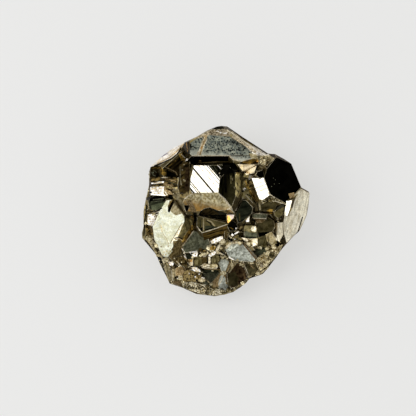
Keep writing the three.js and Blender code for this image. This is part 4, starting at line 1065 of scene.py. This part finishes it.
# %% Grains on the flanks
flank_throws = 2600
lowest, highest = 0.8, 14
smallest, largest = 0.2, 0.8
thrown_from = 0.06
aimed_at = 0.008
out_of_sight = 0.5
for _ in range(flank_throws):
    turn = draw.uniform(0, math.tau)
    height = draw.uniform(lowest, highest) * MM
    outside = Vector((math.cos(turn) * thrown_from, math.sin(turn) * thrown_from,
                      height + draw.uniform(-8, 4) * MM))
    inside = Vector((math.cos(turn + draw.uniform(-0.5, 0.5)) * aimed_at, math.sin(turn) * aimed_at, height))
    point, normal, index, _ = ground_tree.ray_cast(outside, (inside - outside).normalized())
    if point is not None and can_carry(index) and normal.dot(towards_viewer) < out_of_sight:
        add_grain(point, normal, smallest + (largest - smallest) * draw.random() ** 2)
print("grains in all:", len(grains))

# %% [markdown]
# Each grain could be an object of its own, but thousands of them would be slow to handle. All of them go
# into one mesh, and each keeps a tone of its own, from dull to bright.

# %% The grains as a piece
grain_tone = (0.55, 0.7)  # the darkest, and how much lighter the brightest is
crust_places, crust_faces, crust_tones = [], [], []
for point, size, kind, turn in grains:
    corners, faces = grain_shapes[kind]
    first = len(crust_places)
    crust_places.extend(point + turn @ corner * size for corner in corners)
    crust_faces.extend([first + number for number in face] for face in faces)
    crust_tones.extend([grain_tone[0] + grain_tone[1] * draw.random()] * len(faces))

crust_mesh = bpy.data.meshes.new("crust_grains")
crust_mesh.from_pydata(crust_places, [], crust_faces)
crust_mesh.attributes.new("tone", "FLOAT", "FACE").data.foreach_set("value", crust_tones)
crust_mesh.materials.append(finishes["crust"])
crust = add_object("crust_grains", crust_mesh)
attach(crust, "root")
print("crust:", len(crust_faces), "faces")

# %% [markdown]
# The stone lies on a plain pale ground that lets a little light through from below, as a light table does,
# so its shadow stays faint. A sheet that only reflects would need a lamp for itself.

# %% The ground
bpy.ops.mesh.primitive_plane_add(size=3)
ground = bpy.context.object
ground.name = "ground"
paper = bpy.data.materials.new("paper")
paper.use_nodes = True
paper_look = {"Base Color": (0.36, 0.36, 0.355, 1), "Roughness": 0.8, "Specular IOR Level": 0.0,
              "Emission Color": (1, 1, 0.99, 1), "Emission Strength": 0.476}
for name, value in paper_look.items():
    paper.node_tree.nodes["Principled BSDF"].inputs[name].default_value = value
ground.data.materials.append(paper)
print("ground:", ground.name, "light of its own", paper_look["Emission Strength"])

# %% [markdown]
# Above the stone the room is dark where the viewer stands, and light all round, as in a light tent with a
# hole for the camera: faces turned straight up go black, faces turned to the side go white, and faces that
# look at their neighbours go golden brown. White panels could stand round it, but their edges would show in
# every mirror face. A world whose brightness goes by height alone has no edges. One soft box adds the
# shadows.

# %% The light tent
tent = bpy.data.worlds.new("tent")
bpy.context.scene.world = tent
tent.use_nodes = True
tent_nodes, tent_link = tent.node_tree.nodes, tent.node_tree.links.new
direction = tent_nodes.new("ShaderNodeTexCoord")
upwards = tent_nodes.new("ShaderNodeSeparateXYZ")
brightness = tent_nodes.new("ShaderNodeValToRGB")
tent_link(direction.outputs["Generated"], upwards.inputs[0])
tent_link(upwards.outputs["Z"], brightness.inputs[0])
bands = [(0.0, 1.3), (0.5, 1.3), (0.65, 1.0), (0.78, 0.6), (0.9, 0.1), (0.97, 0.01)]
while len(brightness.color_ramp.elements) < len(bands):
    brightness.color_ramp.elements.new(0.5)
for element, (position, level) in zip(brightness.color_ramp.elements, bands):
    element.position = position
    element.color = (level, level, level, 1)
tent_link(brightness.outputs[0], tent_nodes["Background"].inputs["Color"])


def soft_box(name, where, size, power):
    lamp = bpy.data.lights.new(name, "AREA")
    lamp.size = size
    lamp.energy = power
    box = add_object(name, lamp)
    box.location = where
    box.rotation_euler = (Vector((0, 0, 0.01)) - Vector(where)).to_track_quat("-Z", "Y").to_euler()


soft_box("left_soft_box", (-0.62, 0, 0.8), size=0.7, power=3)
print("levels of the tent:", len(bands))

# %% [markdown]
# The camera looks down nearly upright, square to the plane that the crystals were laid out in. A short lens
# close by would bend the outer faces, so it is a long lens from far away.

# %% The camera
lens = 200
sensor = 36
frame_width = 0.1248
middle_of_view = place(-4.95, 1.05)

camera_data = bpy.data.cameras.new("camera")
camera_data.lens = lens
camera_data.sensor_width = sensor
camera_data.clip_start = 0.01
camera = add_object("camera", camera_data)
camera.location = middle_of_view + towards_viewer * (frame_width * lens / sensor)
camera.rotation_euler = (-towards_viewer).to_track_quat("-Z", "Y").to_euler()
bpy.context.scene.camera = camera
bpy.context.scene.view_settings.view_transform = "Standard"
print("camera at", [round(part, 3) for part in camera.location])
